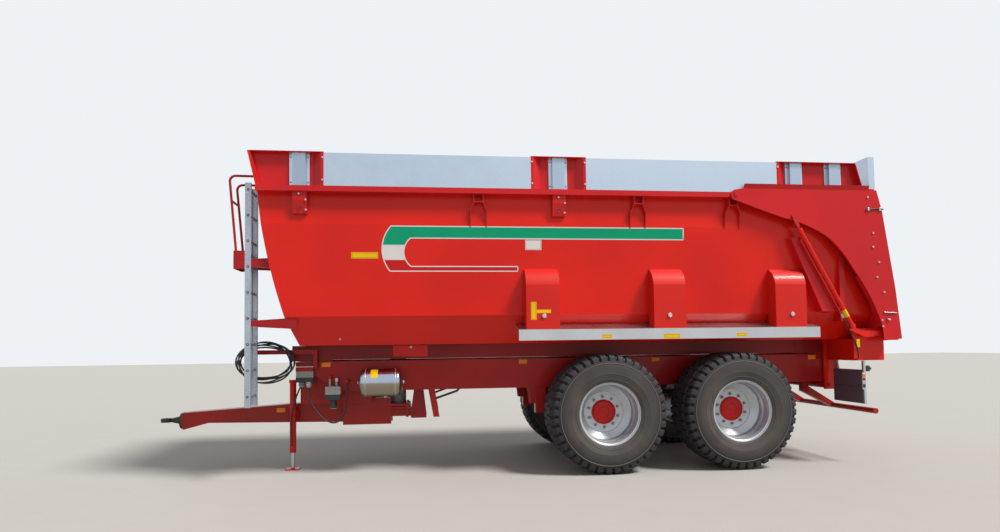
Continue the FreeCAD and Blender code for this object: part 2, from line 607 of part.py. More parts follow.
def wheels():
    half_rim = "RimWidth / 2"
    flange = "RimDiameter / 2"
    seat = "RimDiameter / 2 - 18"
    disc = "RimWidth / 2 - DiscInset"
    rim = turned("rim", [
        (flange, half_rim), (flange, f"{half_rim} - 12"), (seat, f"{half_rim} - 20"),
        (seat, f"20 - {half_rim}"), (flange, f"12 - {half_rim}"), (flange, f"-{half_rim}"),
        (f"{flange} - RimWall", f"-{half_rim}"), (f"{seat} - RimWall", f"14 - {half_rim}"),
        (f"{seat} - RimWall * 1.3", f"{disc} - 30"), (f"{seat} - RimWall * 3", f"{disc} - 14"),
        ("DrumRadius", f"{disc} - 10"), ("DrumRadius", f"{disc} - DrumWidth - 20"),
        ("SpindleRadius + RunGap", f"{disc} - DrumWidth - 20"),
        ("SpindleRadius + RunGap", f"{disc} + 5"), (0, f"{disc} + 5"),
        (0, f"{disc} + HubReach + 12"), ("HubRadius - 15", f"{disc} + HubReach + 12"),
        ("HubRadius", f"{disc} + HubReach"), ("HubRadius", f"{disc} + 6"),
        ("HubRadius + 90", f"{disc} + 6"), (f"{seat} - RimWall * 1.3", f"{disc} + 60"),
        (f"{seat} - RimWall", f"{half_rim} - 16"), (f"{flange} - RimWall", half_rim),
    ])
    half_tyre = "TyreWidth / 2"
    radius = "TyreDiameter / 2"
    tyre = turned("tyre", [
        (f"{seat} + RunGap", f"{half_rim} - 21"), (f"{seat} + RunGap", f"21 - {half_rim}"),
        (f"{flange} + RunGap", f"12.5 - {half_rim}"), (f"{flange} + RunGap", f"-{half_rim}"),
        (f"{flange} + 30", f"-{half_rim} - 14"),
        (f"{flange} + 130", f"-({half_tyre})"), (f"{radius} - 70", f"-({half_tyre}) + 12", -420),
        (f"{radius} - 5", f"-({half_tyre}) + 45"), (radius, 0, -8000),
        (f"{radius} - 5", f"{half_tyre} - 45", -8000),
        (f"{radius} - 70", f"{half_tyre} - 12"), (f"{flange} + 130", half_tyre, -420),
        (f"{flange} + 30", f"{half_rim} + 14"), (f"{flange} + RunGap", half_rim),
        (f"{flange} + RunGap", f"{half_rim} - 12.5"),
    ])
    for place_name, centre in (("front", "FrontAxleX"), ("rear", "FrontAxleX + AxleSpacing")):
        for side, side_name in ((-1, "left"), (1, "right")):
            for source, kind in ((rim, "rim"), (tyre, "tyre")):
                copy = doc.addObject("Part::Feature", f"{kind}_{place_name}_{side_name}")
                SETTERS.append((copy, source, side, centre))
                keep(copy, f"{kind}_{place_name}_{side_name}")


SETTERS = []


# ---------------------------------------------------------------- body (tub)
BODY_BLOCK = []
FRONT_BLOCK = []


def tub_shell():
    side_view = [
        ("TubFrontTopX", "RailBottom"),
        ("TubFrontFootX", "FloorZ", "FrontWallRadius"),
        ("TubRearFootX", "FloorZ"), ("TubRearTopX", "RailBottom"),
    ]
    section_wall = [
        ("TopHalf", "RailBottom"), ("CreaseHalf", "CreaseZ"), ("BendHalf", "BendZ"),
        ("BendHalf - Plate", "BendZ"), ("CreaseHalf - Plate", "CreaseZ"),
        ("TopHalf - Plate", "RailBottom"),
    ]
    section_floor = [
        ("BendHalf", "BendZ"), ("FloorHalf", "FloorZ"), ("-FloorHalf", "FloorZ"),
        ("-BendHalf", "BendZ"), ("-BendHalf + Plate * 1.3", "BendZ"),
        ("-FloorHalf + Plate * 0.5", "FloorZ + Plate"), ("FloorHalf - Plate * 0.5", "FloorZ + Plate"),
        ("BendHalf - Plate * 1.3", "BendZ"),
    ]
    length = "TubRearFootX - TubFrontTopX + 200"
    view = padded("body_side_view", "XZ", "-RailHalf", "2 * RailHalf", side_view)
    # the whole outer form of the body, which trims what is welded onto it
    half = [("RailHalf", "RailBottom"), ("TopHalf", "RailBottom"), ("CreaseHalf", "CreaseZ"),
            ("BendHalf", "BendZ"), ("FloorHalf", "FloorZ")]
    solid = padded("outer_section", "YZ", "TubFrontTopX - 100", length, half[1:] + [
        (f"-{across}", up) for across, up in reversed(half[1:])])
    BODY_BLOCK.append(common("body_block", solid, view))
    # the same for what meets the rail or the extension at the front
    lean = "(TubFrontFootX - TubFrontTopX) / (RailBottom - FloorZ) * BoardHeight"
    FRONT_BLOCK.append(padded("front_block", "XZ", "-RailHalf", "2 * RailHalf", [
        ("TubFrontTopX", "RailBottom"), ("TubFrontTopX", "RailBottom + RailHeight"),
        (f"TubFrontTopX - {lean}", "RailBottom + RailHeight + BoardHeight"),
        ("TubFrontTopX + 300", "RailBottom + RailHeight + BoardHeight"),
        ("TubFrontTopX + 300", "RailBottom"),
    ]))
    wall = padded("wall_section", "YZ", "TubFrontTopX - 100", length, section_wall)
    right = common("side_wall_right", wall, view)
    keep(right, "side_wall_right")
    keep(mirrored("side_wall_left", right), "side_wall_left")
    trough = padded("floor_section", "YZ", "TubFrontTopX - 100", length, section_floor)
    keep(common("floor_trough", trough, view), "floor_trough")
    # the front wall closes the section just inside the wall and floor sheets
    inner = padded("front_section", "YZ", "TubFrontTopX - 100", "TubFrontFootX - TubFrontTopX + 300", [
        ("TopHalf - Plate - RunGap", "RailBottom + RailHeight"),
        ("TopHalf - Plate - RunGap", "RailBottom"),
        ("CreaseHalf - Plate - RunGap", "CreaseZ"),
        ("BendHalf - Plate * 1.3 - RunGap", "BendZ"),
        ("FloorHalf - Plate * 0.5 - RunGap", "FloorZ + Plate + RunGap"),
        ("-(FloorHalf - Plate * 0.5 - RunGap)", "FloorZ + Plate + RunGap"),
        ("-(BendHalf - Plate * 1.3 - RunGap)", "BendZ"),
        ("-(CreaseHalf - Plate - RunGap)", "CreaseZ"),
        ("-(TopHalf - Plate - RunGap)", "RailBottom"),
        ("-(TopHalf - Plate - RunGap)", "RailBottom + RailHeight"),
    ])
    slope = "(TubFrontFootX - TubFrontTopX) / (RailBottom - FloorZ)"
    strip = padded("front_strip", "XZ", "-RailHalf", "2 * RailHalf", [
        ("TubFrontTopX", "RailBottom"), ("TubFrontFootX", "FloorZ", "FrontWallRadius"),
        ("TubFrontFootX + Plate", "FloorZ"),
        ("TubFrontTopX + Plate", "RailBottom", "-(FrontWallRadius - Plate)"),
        (f"TubFrontTopX + Plate - RailHeight * {slope}", "RailBottom + RailHeight"),
        (f"TubFrontTopX - RailHeight * {slope}", "RailBottom + RailHeight"),
    ])
    keep(common("front_wall", strip, inner), "front_wall")


def top_rails():
    """The top rails, narrower beside the tailgate ears, and the tailgate's pivot pins."""
    step = "DoorPivotX + RailStep"
    inner = "TopHalf - Plate"
    rail = padded("rail_bar", "XY", "RailBottom", "RailHeight", [
        ("TubFrontTopX", inner), ("TubRearTopX", inner), ("TubRearTopX", "RailRearHalf"),
        ("RailNarrowX", "RailRearHalf"), ("RailNarrowX - 60", "PostHalf"),
        (f"{step} + 60", "PostHalf"), (step, "RailHalf"), ("TubFrontTopX", "RailHalf"),
    ])
    pin = rod("door_pin", "y", "DoorPivotX", "RailHalf - 5", "DoorPivotZ", "DoorPinRadius",
              "EarHalf - RailHalf + EarPlate + 17")
    right = fuse("top_rail_right", [rail, pin])
    keep(right, "top_rail_right")
    keep(mirrored("top_rail_left", right), "top_rail_left")


def rail_brackets():
    """Bent gussets and stake sockets between the rail and the wall's upper fold."""
    fold = "CreaseZ + 160"
    neck = "RailBottom - 90"
    pieces = []
    for index, middle in enumerate(("DoorPivotX - 2982", "DoorPivotX - 1150", "DoorPivotX - 13")):
        half_neck, half_foot = "GussetNeck / 2", "GussetFoot / 2"
        bottle = [
            (f"{middle} - {half_foot}", "CreaseZ - 20"), (f"{middle} - {half_foot}", fold),
            (f"{middle} - {half_neck}", neck), (f"{middle} - {half_neck}", "RailBottom"),
            (f"{middle} + {half_neck}", "RailBottom"), (f"{middle} + {half_neck}", neck),
            (f"{middle} + {half_foot}", fold), (f"{middle} + {half_foot}", "CreaseZ - 20"),
        ]
        inside = [
            (f"{middle} - {half_foot} + GussetSheet", "CreaseZ - 30"),
            (f"{middle} - {half_foot} + GussetSheet", f"{fold} - 3"),
            (f"{middle} - {half_neck} + GussetSheet", f"{neck} - 3"),
            (f"{middle} - {half_neck} + GussetSheet", "RailBottom + 10"),
            (f"{middle} + {half_neck} - GussetSheet", "RailBottom + 10"),
            (f"{middle} + {half_neck} - GussetSheet", f"{neck} - 3"),
            (f"{middle} + {half_foot} - GussetSheet", f"{fold} - 3"),
            (f"{middle} + {half_foot} - GussetSheet", "CreaseZ - 30"),
        ]
        strips = cut(f"gusset_strips_{index}",
                     padded(f"gusset_{index}", "XZ", "-RailHalf", "RailHalf - FloorHalf", bottle),
                     padded(f"gusset_inside_{index}", "XZ", "-RailHalf - 10",
                            "RailHalf - FloorHalf + 20", inside))
        shelf = box(f"gusset_shelf_{index}", f"{middle} - {half_neck}", "FloorHalf", neck,
                    "GussetNeck", "GussetHalf - FloorHalf", 8)
        pieces.append(fuse(f"gusset_whole_{index}", [strips, shelf]))
    for index, start in enumerate(("TubFrontTopX + 380", "DoorPivotX - 2148")):
        pieces.append(box(f"socket_{index}", start, "FloorHalf", "RailBottom - SocketDrop",
                          "SocketWidth", "PostHalf - FloorHalf", "SocketDrop"))
    # the brackets stay behind this leaning face and outside the body
    face = padded("bracket_face", "YZ", "TubFrontTopX - 50", "TubRearTopX - TubFrontTopX + 100", [
        ("FloorHalf", "CreaseZ - 25"), ("CreaseHalf + 2", "CreaseZ - 25"),
        ("GussetHalf", "RailBottom - 90"), ("GussetHalf", "RailBottom"),
        ("FloorHalf", "RailBottom"),
    ])
    trimmed = [cut(f"bracket_{index}", common(f"bracket_raw_{index}", piece, face), BODY_BLOCK[0])
               for index, piece in enumerate(pieces)]
    keep(both_sides("rail_brackets", together("rail_brackets_right", trimmed)), "rail_brackets")


def sub_frame():
    inner = "FrameSpacing / 2 - FrameRailWidth / 2"
    outer = "FrameSpacing / 2 + FrameRailWidth / 2"
    bottom = "(FrameTop + SubFrameGap)"
    rail = padded("sub_rail", "XZ", inner, "FrameRailWidth", [
        ("TubFrontFootX + 90", "FloorZ"), ("TubFrontFootX + 170", bottom),
        ("FrameRearX + 30", bottom), ("FrameRearX + 30", "FloorZ"),
    ])
    pieces = [rail, mirrored("sub_rail_right", rail)]
    ball_top = "TipBarrelTop + 6 * TipStages + 2 * TipBallRadius + RunGap"
    pieces.append(box("tip_head_plate", "TipBaseX - 100", f"-({inner}) - 1", ball_top, 200,
                      f"2 * ({inner}) + 2", f"FloorZ - ({ball_top})"))
    for index, start in enumerate(("TubFrontFootX + 180", "FrontAxleX - AxleSpacing / 2",
                                   "FrontAxleX + AxleSpacing")):
        pieces.append(box(f"sub_cross_{index}", start, f"-({inner}) - 1", f"{bottom} + 40",
                          "CrossWidth", f"2 * ({inner}) + 2", f"FloorZ - {bottom} - 40"))
    keep(fuse("body_subframe", pieces), "body_subframe")
    # rear sill: a beam behind the chassis rails, with a box at each side and the hinge arms
    sill_bottom = "(FrameTop - SillDepth)"
    pieces = [box("sill_beam", "FrameRearX + 30", "-BendHalf", sill_bottom,
                  "TubRearFootX - FrameRearX - 30", "2 * BendHalf", f"FloorZ - ({sill_bottom})")]
    for side in (-1, 1):
        low, high = ("-BendHalf", f"-({outer}) - 50") if side < 0 else (f"{outer} + 50", "BendHalf")
        pieces.append(box(f"sill_box_{side}", "TipHingeX - 10", low, sill_bottom,
                          "FrameRearX - TipHingeX + 50", f"({high}) - ({low})",
                          f"FloorZ - ({sill_bottom})"))
        pieces.append(box(f"sill_cheek_{side}", "TipHingeX - 10",
                          "-BendHalf - 15" if side < 0 else "BendHalf", sill_bottom,
                          "TubRearFootX - TipHingeX - 10", 15, f"LockPivotZ + 60 - ({sill_bottom})"))
        start = f"{outer} + 15" if side == 1 else f"-({outer}) - 15 - HingeArmPlate"
        pieces.append(box(f"hose_shelf_{side}", "TipHingeX - 35",
                          "-BendHalf - 115" if side < 0 else "BendHalf + 14", f"{sill_bottom} + 10", 60,
                          101, 12))
        pieces.append(box(f"hinge_arm_{side}", "TipHingeX - 60", start, "TipHingeZ - 55", 200,
                          "HingeArmPlate", "FloorZ - TipHingeZ + 55"))
    hole = rod("arm_holes", "y", "TipHingeX", "-FrameSpacing", "TipHingeZ",
               "TipPinRadius + RunGap", "2 * FrameSpacing")
    keep(cut("rear_sill", fuse("sill_body", pieces), hole), "rear_sill")


def fenders():
    section = [
        ("FenderHalf", "FenderLipBottom"), ("FenderHalf", "FenderLipTop"),
        ("FenderInnerHalf", "FenderInnerZ"), ("FenderInnerHalf", "FenderInnerZ - FenderSheet"),
        ("FenderHalf - FenderSheet", "FenderLipTop - FenderSheet"),
        ("FenderHalf - FenderSheet", "FenderLipBottom"),
    ]
    plate = padded("fender_plate", "YZ", "FenderFrontX", "FenderRearX - FenderFrontX", section)
    ends = []
    for name, start in (("front", "FenderFrontX"), ("rear", "FenderRearX - FenderSheet")):
        ends.append(padded(f"fender_end_{name}", "YZ", start, "FenderSheet", [
            ("FenderHalf - 1", "FenderLipBottom"), ("FenderHalf - 1", "FenderLipTop"),
            ("FenderInnerHalf + 5", "FenderInnerZ - 2"), ("FenderInnerHalf + 5", "FenderInnerZ - 60"),
            ("FenderHalf - 190", "FenderInnerZ - 60"), ("FenderHalf - 40", "FenderLipBottom"),
        ]))
    keep(both_sides("fenders", fuse("fender_right", [plate] + ends)), "fenders")
    slope = "(FenderInnerZ - FenderLipTop) / (FenderHalf - FenderInnerHalf)"
    mounts = []
    for index, start in enumerate(("FenderFrontX + 90",
                                   "FenderFrontX / 2 + FenderRearX / 2 - MountWidth / 2 - 28",
                                   "FenderRearX - MountWidth - 145")):
        mount = padded(f"mount_{index}", "YZ", start, "MountWidth", [
            ("MountHalf", f"FenderLipTop + (FenderHalf - MountHalf) * {slope} + RunGap"),
            ("MountHalf", "MountTop - 190"),
            ("BendHalf + (CreaseHalf - BendHalf) * (MountTop - BendZ) / (CreaseZ - BendZ) + RunGap",
             "MountTop", 260),
            ("BendHalf + RunGap", "BendZ"),
            ("BendHalf + RunGap", f"FenderLipTop + (FenderHalf - BendHalf) * {slope} + RunGap"),
        ])
        mounts += [mount, mirrored(f"mount_left_{index}", mount)]
    keep(together("fender_mounts", mounts), "fender_mounts")


def side_ribs():
    """The diagonal rib behind each door cylinder and the two upright ribs at the rear."""
    diagonal = padded("rib_diagonal", "XZ", "FloorHalf", "RibHalf - FloorHalf", [
        ("DoorEyeX - 10", "CreaseZ - 120"), ("DoorEyeX + 360", "BendZ + 10"),
        ("DoorEyeX + 560", "BendZ + 10"), ("DoorEyeX + 140", "CreaseZ - 120"),
    ])
    upright = padded("rib_upright", "XZ", "FloorHalf", "UprightRibHalf - FloorHalf", [
        ("DoorBaseX - 75", "BendZ - 100"), ("DoorBaseX - 10", "BendZ - 100"),
        ("DoorBaseX - 10", "RailBottom"), ("DoorBaseX - 75", "RailBottom"),
    ])
    rear = padded("rib_rear", "XZ", "FloorHalf", "UprightRibHalf + 12 - FloorHalf", [
        ("TubRearFootX - 125", "LockPivotZ + 60"), ("TubRearFootX - 30", "LockPivotZ + 60"),
        ("TubRearTopX", "RailBottom"), ("TubRearTopX - 60", "RailBottom"),
    ])
    left = cut("side_ribs_left", fuse("ribs_raw", [diagonal, upright, rear]), BODY_BLOCK[0])
    keep(both_sides("side_ribs", left), "side_ribs")


def extensions():
    """Bolted-on trays round the top, each a sheet shell open to the outside with an aluminium
    upright in it, and aluminium boards between them."""
    top = "RailBottom + RailHeight + BoardHeight"
    base = "RailBottom + RailHeight"
    lean = "(TubFrontFootX - TubFrontTopX) / (RailBottom - FloorZ) * BoardHeight"
    back = "PostHalf - TrayDepth"
    trays = {
        "front": [("TubFrontTopX + 26", base), ("TubFrontTopX + FrontTray", base),
                  ("TubFrontTopX + FrontTray", top), (f"TubFrontTopX - {lean} + 26", top)],
        "middle": [("MiddleTrayX", base), ("MiddleTrayX + MiddleTray", base),
                   ("MiddleTrayX + MiddleTray", top), ("MiddleTrayX", top)],
        "rear": [("RearTrayX", base), ("TubRearTopX - 58", base), ("TubRearTopX - 66", f"{base} + 125"),
                 ("TubRearTopX - 136", top), ("RearTrayX", top)],
    }
    insides = {
        "front": [("TubFrontTopX + 34", f"{base} + TraySheet"),
                  ("TubFrontTopX + FrontTray - TraySheet", f"{base} + TraySheet"),
                  ("TubFrontTopX + FrontTray - TraySheet", f"{top} - TraySheet"),
                  (f"TubFrontTopX - {lean} + 34", f"{top} - TraySheet")],
        "middle": [("MiddleTrayX + TraySheet", f"{base} + TraySheet"),
                   ("MiddleTrayX + MiddleTray - TraySheet", f"{base} + TraySheet"),
                   ("MiddleTrayX + MiddleTray - TraySheet", f"{top} - TraySheet"),
                   ("MiddleTrayX + TraySheet", f"{top} - TraySheet")],
        "rear": [("RearTrayX + TraySheet", f"{base} + TraySheet"),
                 ("TubRearTopX - 64", f"{base} + TraySheet"), ("TubRearTopX - 72", f"{base} + 123"),
                 ("TubRearTopX - 142", f"{top} - TraySheet"),
                 ("RearTrayX + TraySheet", f"{top} - TraySheet")],
    }
    # where the side of a tray slopes in from its flange: front end, rear end
    slopes = {
        "front": (None, "TubFrontTopX + FrontTray"),
        "middle": ("MiddleTrayX", "MiddleTrayX + MiddleTray"),
        "rear": ("RearTrayX", None),
    }
    shells = []
    for name, points in trays.items():
        block = padded(f"tray_{name}", "XZ", "-PostHalf", "TrayDepth", points)
        hollow = padded(f"tray_hollow_{name}", "XZ", "-PostHalf - 1",
                        "TrayDepth - TraySheet + 1", insides[name])
        front_end, rear_end = slopes[name]
        deep, open_side = f"{back} + TraySheet - 1", "PostHalf + 2"
        plan = [("TubFrontTopX - 400", deep), ("TubFrontTopX - 400", open_side)]
        if front_end:
            plan = [(f"{front_end} + TrayFlange + TraySlope", deep),
                    (f"{front_end} + TrayFlange", open_side)]
        if rear_end:
            plan += [(f"{rear_end} - TrayFlange", open_side),
                     (f"{rear_end} - TrayFlange - TraySlope", deep)]
        else:
            plan += [("TubRearTopX + 400", open_side), ("TubRearTopX + 400", deep)]
        pocket = padded(f"tray_plan_{name}", "XY", base, "BoardHeight", plan)
        shells.append(cut(f"tray_shell_{name}", block,
                          common(f"tray_pocket_{name}", hollow, pocket)))
    keep(both_sides("extension_trays", together("trays_right", shells)), "extension_trays")
    boards = []
    for index, (start, stop) in enumerate((("TubFrontTopX + FrontTray", "MiddleTrayX"),
                                           ("MiddleTrayX + MiddleTray", "RearTrayX"))):
        boards.append(box(f"board_{index}", f"{start} + RunGap", "PostHalf - BoardThickness", base,
                          f"({stop}) - ({start}) - 2 * RunGap", "BoardThickness",
                          "BoardHeight - 12"))
    for index, start in enumerate(("TubFrontTopX + 339", "MiddleTrayX + 213", "RearTrayX + 146",
                                   "RearTrayX + 640")):
        foot = f"{back} + TraySheet + RunGap"
        crown = f"{foot} + UprightDepth"
        inner = f"{start} + UprightFlange"
        outer = f"{start} + UprightWidth - UprightFlange"
        boards.append(padded(f"upright_{index}", "XY", f"{base} + TraySheet + RunGap",
                             "BoardHeight - 2 * TraySheet - 2 * RunGap", [
            (start, foot), (f"{start} + UprightWidth", foot),
            (f"{start} + UprightWidth", f"{foot} + UprightSheet"),
            (outer, f"{foot} + UprightSheet"), (f"{outer} - 6", crown), (f"{inner} + 6", crown),
            (inner, f"{foot} + UprightSheet"), (start, f"{foot} + UprightSheet"),
        ]))
    keep(both_sides("extension_boards", together("boards_right", boards)), "extension_boards")
    front = padded("front_extension", "XZ", "-(PostHalf - 2)", "2 * (PostHalf - 2)", [
        ("TubFrontTopX", base), ("TubFrontTopX + 25", base),
        (f"TubFrontTopX + 25 - {lean}", top), (f"TubFrontTopX - {lean}", top),
    ])
    keep(front, "front_extension")


def ladder():
    """Channel rails with rungs, a sheet step, two handrails and the stays to the front wall."""
    inner = "LadderY + LadderWidth"
    half_width = "LadderRailWidth / 2"
    pieces = []
    for index, middle in enumerate(("LadderY", inner)):
        # the channels' open sides face each other, over the rungs' ends
        low = f"{middle} - {half_width} + LadderWall" if index == 0 else f"{middle} - {half_width} - 1"
        pieces.append(cut(f"ladder_rail_{index}",
            box(f"ladder_bar_{index}", "LadderX - LadderRailDepth / 2", f"{middle} - {half_width}",
                "LadderBottom", "LadderRailDepth", "LadderRailWidth", "LadderTop - LadderBottom"),
            box(f"ladder_groove_{index}", "LadderX - LadderRailDepth / 2 + LadderWall", low,
                "LadderBottom - 1", "LadderRailDepth - 2 * LadderWall",
                "LadderRailWidth - LadderWall + 1", "LadderTop - LadderBottom + 2")))
    for index in range(9):
        pieces.append(rod(f"rung_{index}", "y", "LadderX", f"LadderY - {half_width} + 1",
                          f"LadderTop - 75 - {index} * RungPitch", 15,
                          "LadderWidth + LadderRailWidth - 2"))
    bars = fuse("ladder_raw", pieces)
    keep(bars, "ladder")
    pieces = []
    for index, (root, height, tall, grow) in enumerate((("upper", 2330, 90, 40),
                                                        ("lower", 1690, 60, 60))):
        for which, middle in enumerate(("LadderY", inner)):
            pieces.append(padded(f"stay_{root}_{which}", "XZ", f"-({middle}) - {half_width}",
                                 "LadderRailWidth", [
                ("LadderX + LadderRailDepth / 2 - 2", height),
                ("LadderX + LadderRailDepth / 2 - 2", height + tall),
                ("TubFrontFootX + 20", height + tall + grow / 2),
                ("TubFrontFootX + 20", height - grow / 2),
            ]))
    step_bottom = "StepTopZ - 197"
    step = cut("step_tray",
        box("step_block", "LadderX - LadderRailDepth / 2 - 118", f"LadderY - {half_width}",
            step_bottom, 119, "LadderWidth + LadderRailWidth", 197),
        box("step_hollow", "LadderX - LadderRailDepth / 2 - 114", f"LadderY - {half_width} + 4",
            f"{step_bottom} - 1", 150, "LadderWidth + LadderRailWidth - 8", 194))
    pieces.append(step)
    stays = cut("stays_clear_of_body", fuse("ladder_stays_raw", pieces), BODY_BLOCK[0])
    # handrails rise from the step and turn back to the front wall
    rails = []
    for index, (across, high) in enumerate((("LadderY", 3325), (inner, 3290))):
        rails.append(tube(f"handrail_{index}", [
            ("HandrailFootX", across, "StepTopZ - 20"), ("HandrailTopX", across, high),
            ("TubFrontTopX + 10", across, high - 4)], "HandrailRadius", 60))
    rails.append(rod("handrail_bar", "y", "HandrailTopX + 24", "LadderY", 3050, "HandrailRadius",
                     "LadderWidth"))
    face = cut("handrail_ends", fuse("handrails", rails), FRONT_BLOCK[0])
    keep(cut("stays_clear_of_bars", fuse("stays_whole", [stays, face]), bars), "ladder_stays")


# ---------------------------------------------------------------- tailgate
LOWER_EDGE = [
    ("DoorPivotX + 560", "DoorPivotZ - 268"), ("DoorPivotX + 880", "DoorPivotZ - 367", -1700),
    ("DoorPivotX + 1094", "DoorPivotZ - 475", -1700),
    ("DoorPivotX + 1420", "DoorPivotZ - 861", -1300),
    ("DoorPivotX + 1768", "DoorPivotZ - 1549", -2300), ("DoorPivotX + 1780", "DoorPivotZ - 1715"),
]
# where the flange is clear of the rear tray all the way up
WIDE_FROM = ("DoorPivotX + 1487", "DoorPivotZ - 957", -2300)
EAR = LOWER_EDGE + [
    ("DoorPivotX + 2008", "DoorPivotZ - 1693"), ("DoorPivotX + 1947", "DoorPivotZ - 1094"),
    ("DoorPivotX + 1814", "DoorPivotZ - 182"), ("DoorPivotX + 1752", "DoorPivotZ + 68"),
    ("DoorPivotX + 90", "DoorPivotZ + 68"), ("DoorPivotX - 20", "DoorPivotZ + 50"),
    ("DoorPivotX - 46", "DoorPivotZ - 60", 75),
]


def edge_strip(name, points, inner, outer):
    """A strip along part of the ear's edge, just inside it, bent inwards from the plate."""
    near = [(f"{point[0]} + 1", f"{point[1]} + 1") + tuple(point[2:]) for point in points]
    near[0] = near[0][:2]
    back = []
    for index in range(len(points) - 1, -1, -1):
        bend = points[index + 1][2:] if index + 1 < len(points) else ()
        far = (f"{points[index][0]} + 7", f"{points[index][1]} + 7")
        back.append(far + tuple(-radius for radius in bend))
    return padded(name, "XZ", f"-({outer})", f"({outer}) - ({inner})", near + back)


def tailgate():
    """Two side ears that swing on the rails' pins, the ribbed door between them and its board."""
    lip_start, lip_length = "DoorPivotX + 96", 1554
    lip = padded("ear_lip", "YZ", lip_start, lip_length, [
        ("EarHalf", "DoorPivotZ + 60"), ("EarHalf + EarPlate", "DoorPivotZ + 60"),
        ("EarHalf + EarPlate", "DoorPivotZ + 66"),
        ("EarHalf + EarPlate + 20", "DoorPivotZ + 68 + EarLip"),
        ("EarHalf + 20", "DoorPivotZ + 68 + EarLip"),
        ("EarHalf", "DoorPivotZ + 66"),
    ])
    plate = padded("ear_plate", "XZ", "-EarHalf - EarPlate", "EarPlate", EAR)
    # the flange is narrow where it swings past the rear tray, left out beside the rod's fork, and
    # full behind them
    front = edge_strip("ear_flange_front", [("DoorPivotX + 200", "DoorPivotZ - 145"),
                                            ("DoorPivotX + 450", "DoorPivotZ - 230")],
                       "PostHalf + 6", "EarHalf + 1")
    narrow = edge_strip("ear_flange_middle", [LOWER_EDGE[1][:2]] + LOWER_EDGE[2:4] + [WIDE_FROM],
                        "PostHalf + 6", "EarHalf + 1")
    full = edge_strip("ear_flange_rear", [WIDE_FROM[:2]] + LOWER_EDGE[4:5],
                      "EarHalf - EarFlange", "EarHalf + 1")
    hole = rod("ear_hole", "y", "DoorPivotX", "EarHalf - 50", "DoorPivotZ",
               "DoorPinRadius + RunGap", 100)
    right = cut("tailgate_ear_right", fuse("ear_whole", [plate, lip, front, narrow, full]), hole)
    keep(right, "tailgate_ear_right")
    keep(mirrored("tailgate_ear_left", right), "tailgate_ear_left")
    low, high = "(FloorZ - 20)", "(RailBottom + RailHeight + 60)"
    slope = f"(TubRearTopX - TubRearFootX) / ({high} - {low})"
    face = "TubRearFootX + DoorGap"
    block = padded("tailgate_block", "XZ", "-EarHalf", "2 * EarHalf", [
        (face, low), (f"{face} + ({high} - {low}) * {slope}", high),
        (f"{face} + ({high} - {low}) * {slope} + DoorPlate", high), (f"{face} + DoorPlate", low),
    ])
    pockets = []
    panel_high = f"({high} - {low} - 4 * DoorRib) / 3"
    panel_wide = "(2 * EarHalf - 5 * DoorRib) / 4"
    for row in range(3):
        foot = f"(DoorRib + {row} * ({panel_high} + DoorRib))"
        head = f"({foot} + {panel_high})"
        corners = [
            (f"{face} + DoorSheet + {foot} * {slope}", f"{low} + {foot}"),
            (f"{face} + DoorSheet + {head} * {slope}", f"{low} + {head}"),
            (f"{face} + DoorPlate + 10 + {head} * {slope}", f"{low} + {head}"),
            (f"{face} + DoorPlate + 10 + {foot} * {slope}", f"{low} + {foot}"),
        ]
        for column in range(4):
            start = f"-EarHalf + DoorRib + {column} * ({panel_wide} + DoorRib)"
            pockets.append(padded(f"panel_{row}_{column}", "XZ", start, panel_wide, corners))
    keep(cut("tailgate_door", block, together("tailgate_panels", pockets)), "tailgate_door")
    board = [box("tailgate_sheet", "TubRearTopX + DoorGap + 20", "-(PostHalf - 5)", high,
                 "BoardThickness", "2 * (PostHalf - 5)", "BoardHeight + 20")]
    for side in (-1, 1):
        board.append(box(f"tailgate_board_end_{side}", "TubRearTopX + DoorGap + 20",
                         "-(PostHalf - 5)" if side < 0 else "PostHalf - 5 - TraySheet", high,
                         "BoardEnd", "TraySheet", "BoardHeight + 20"))
    keep(fuse("tailgate_board", board), "tailgate_board")


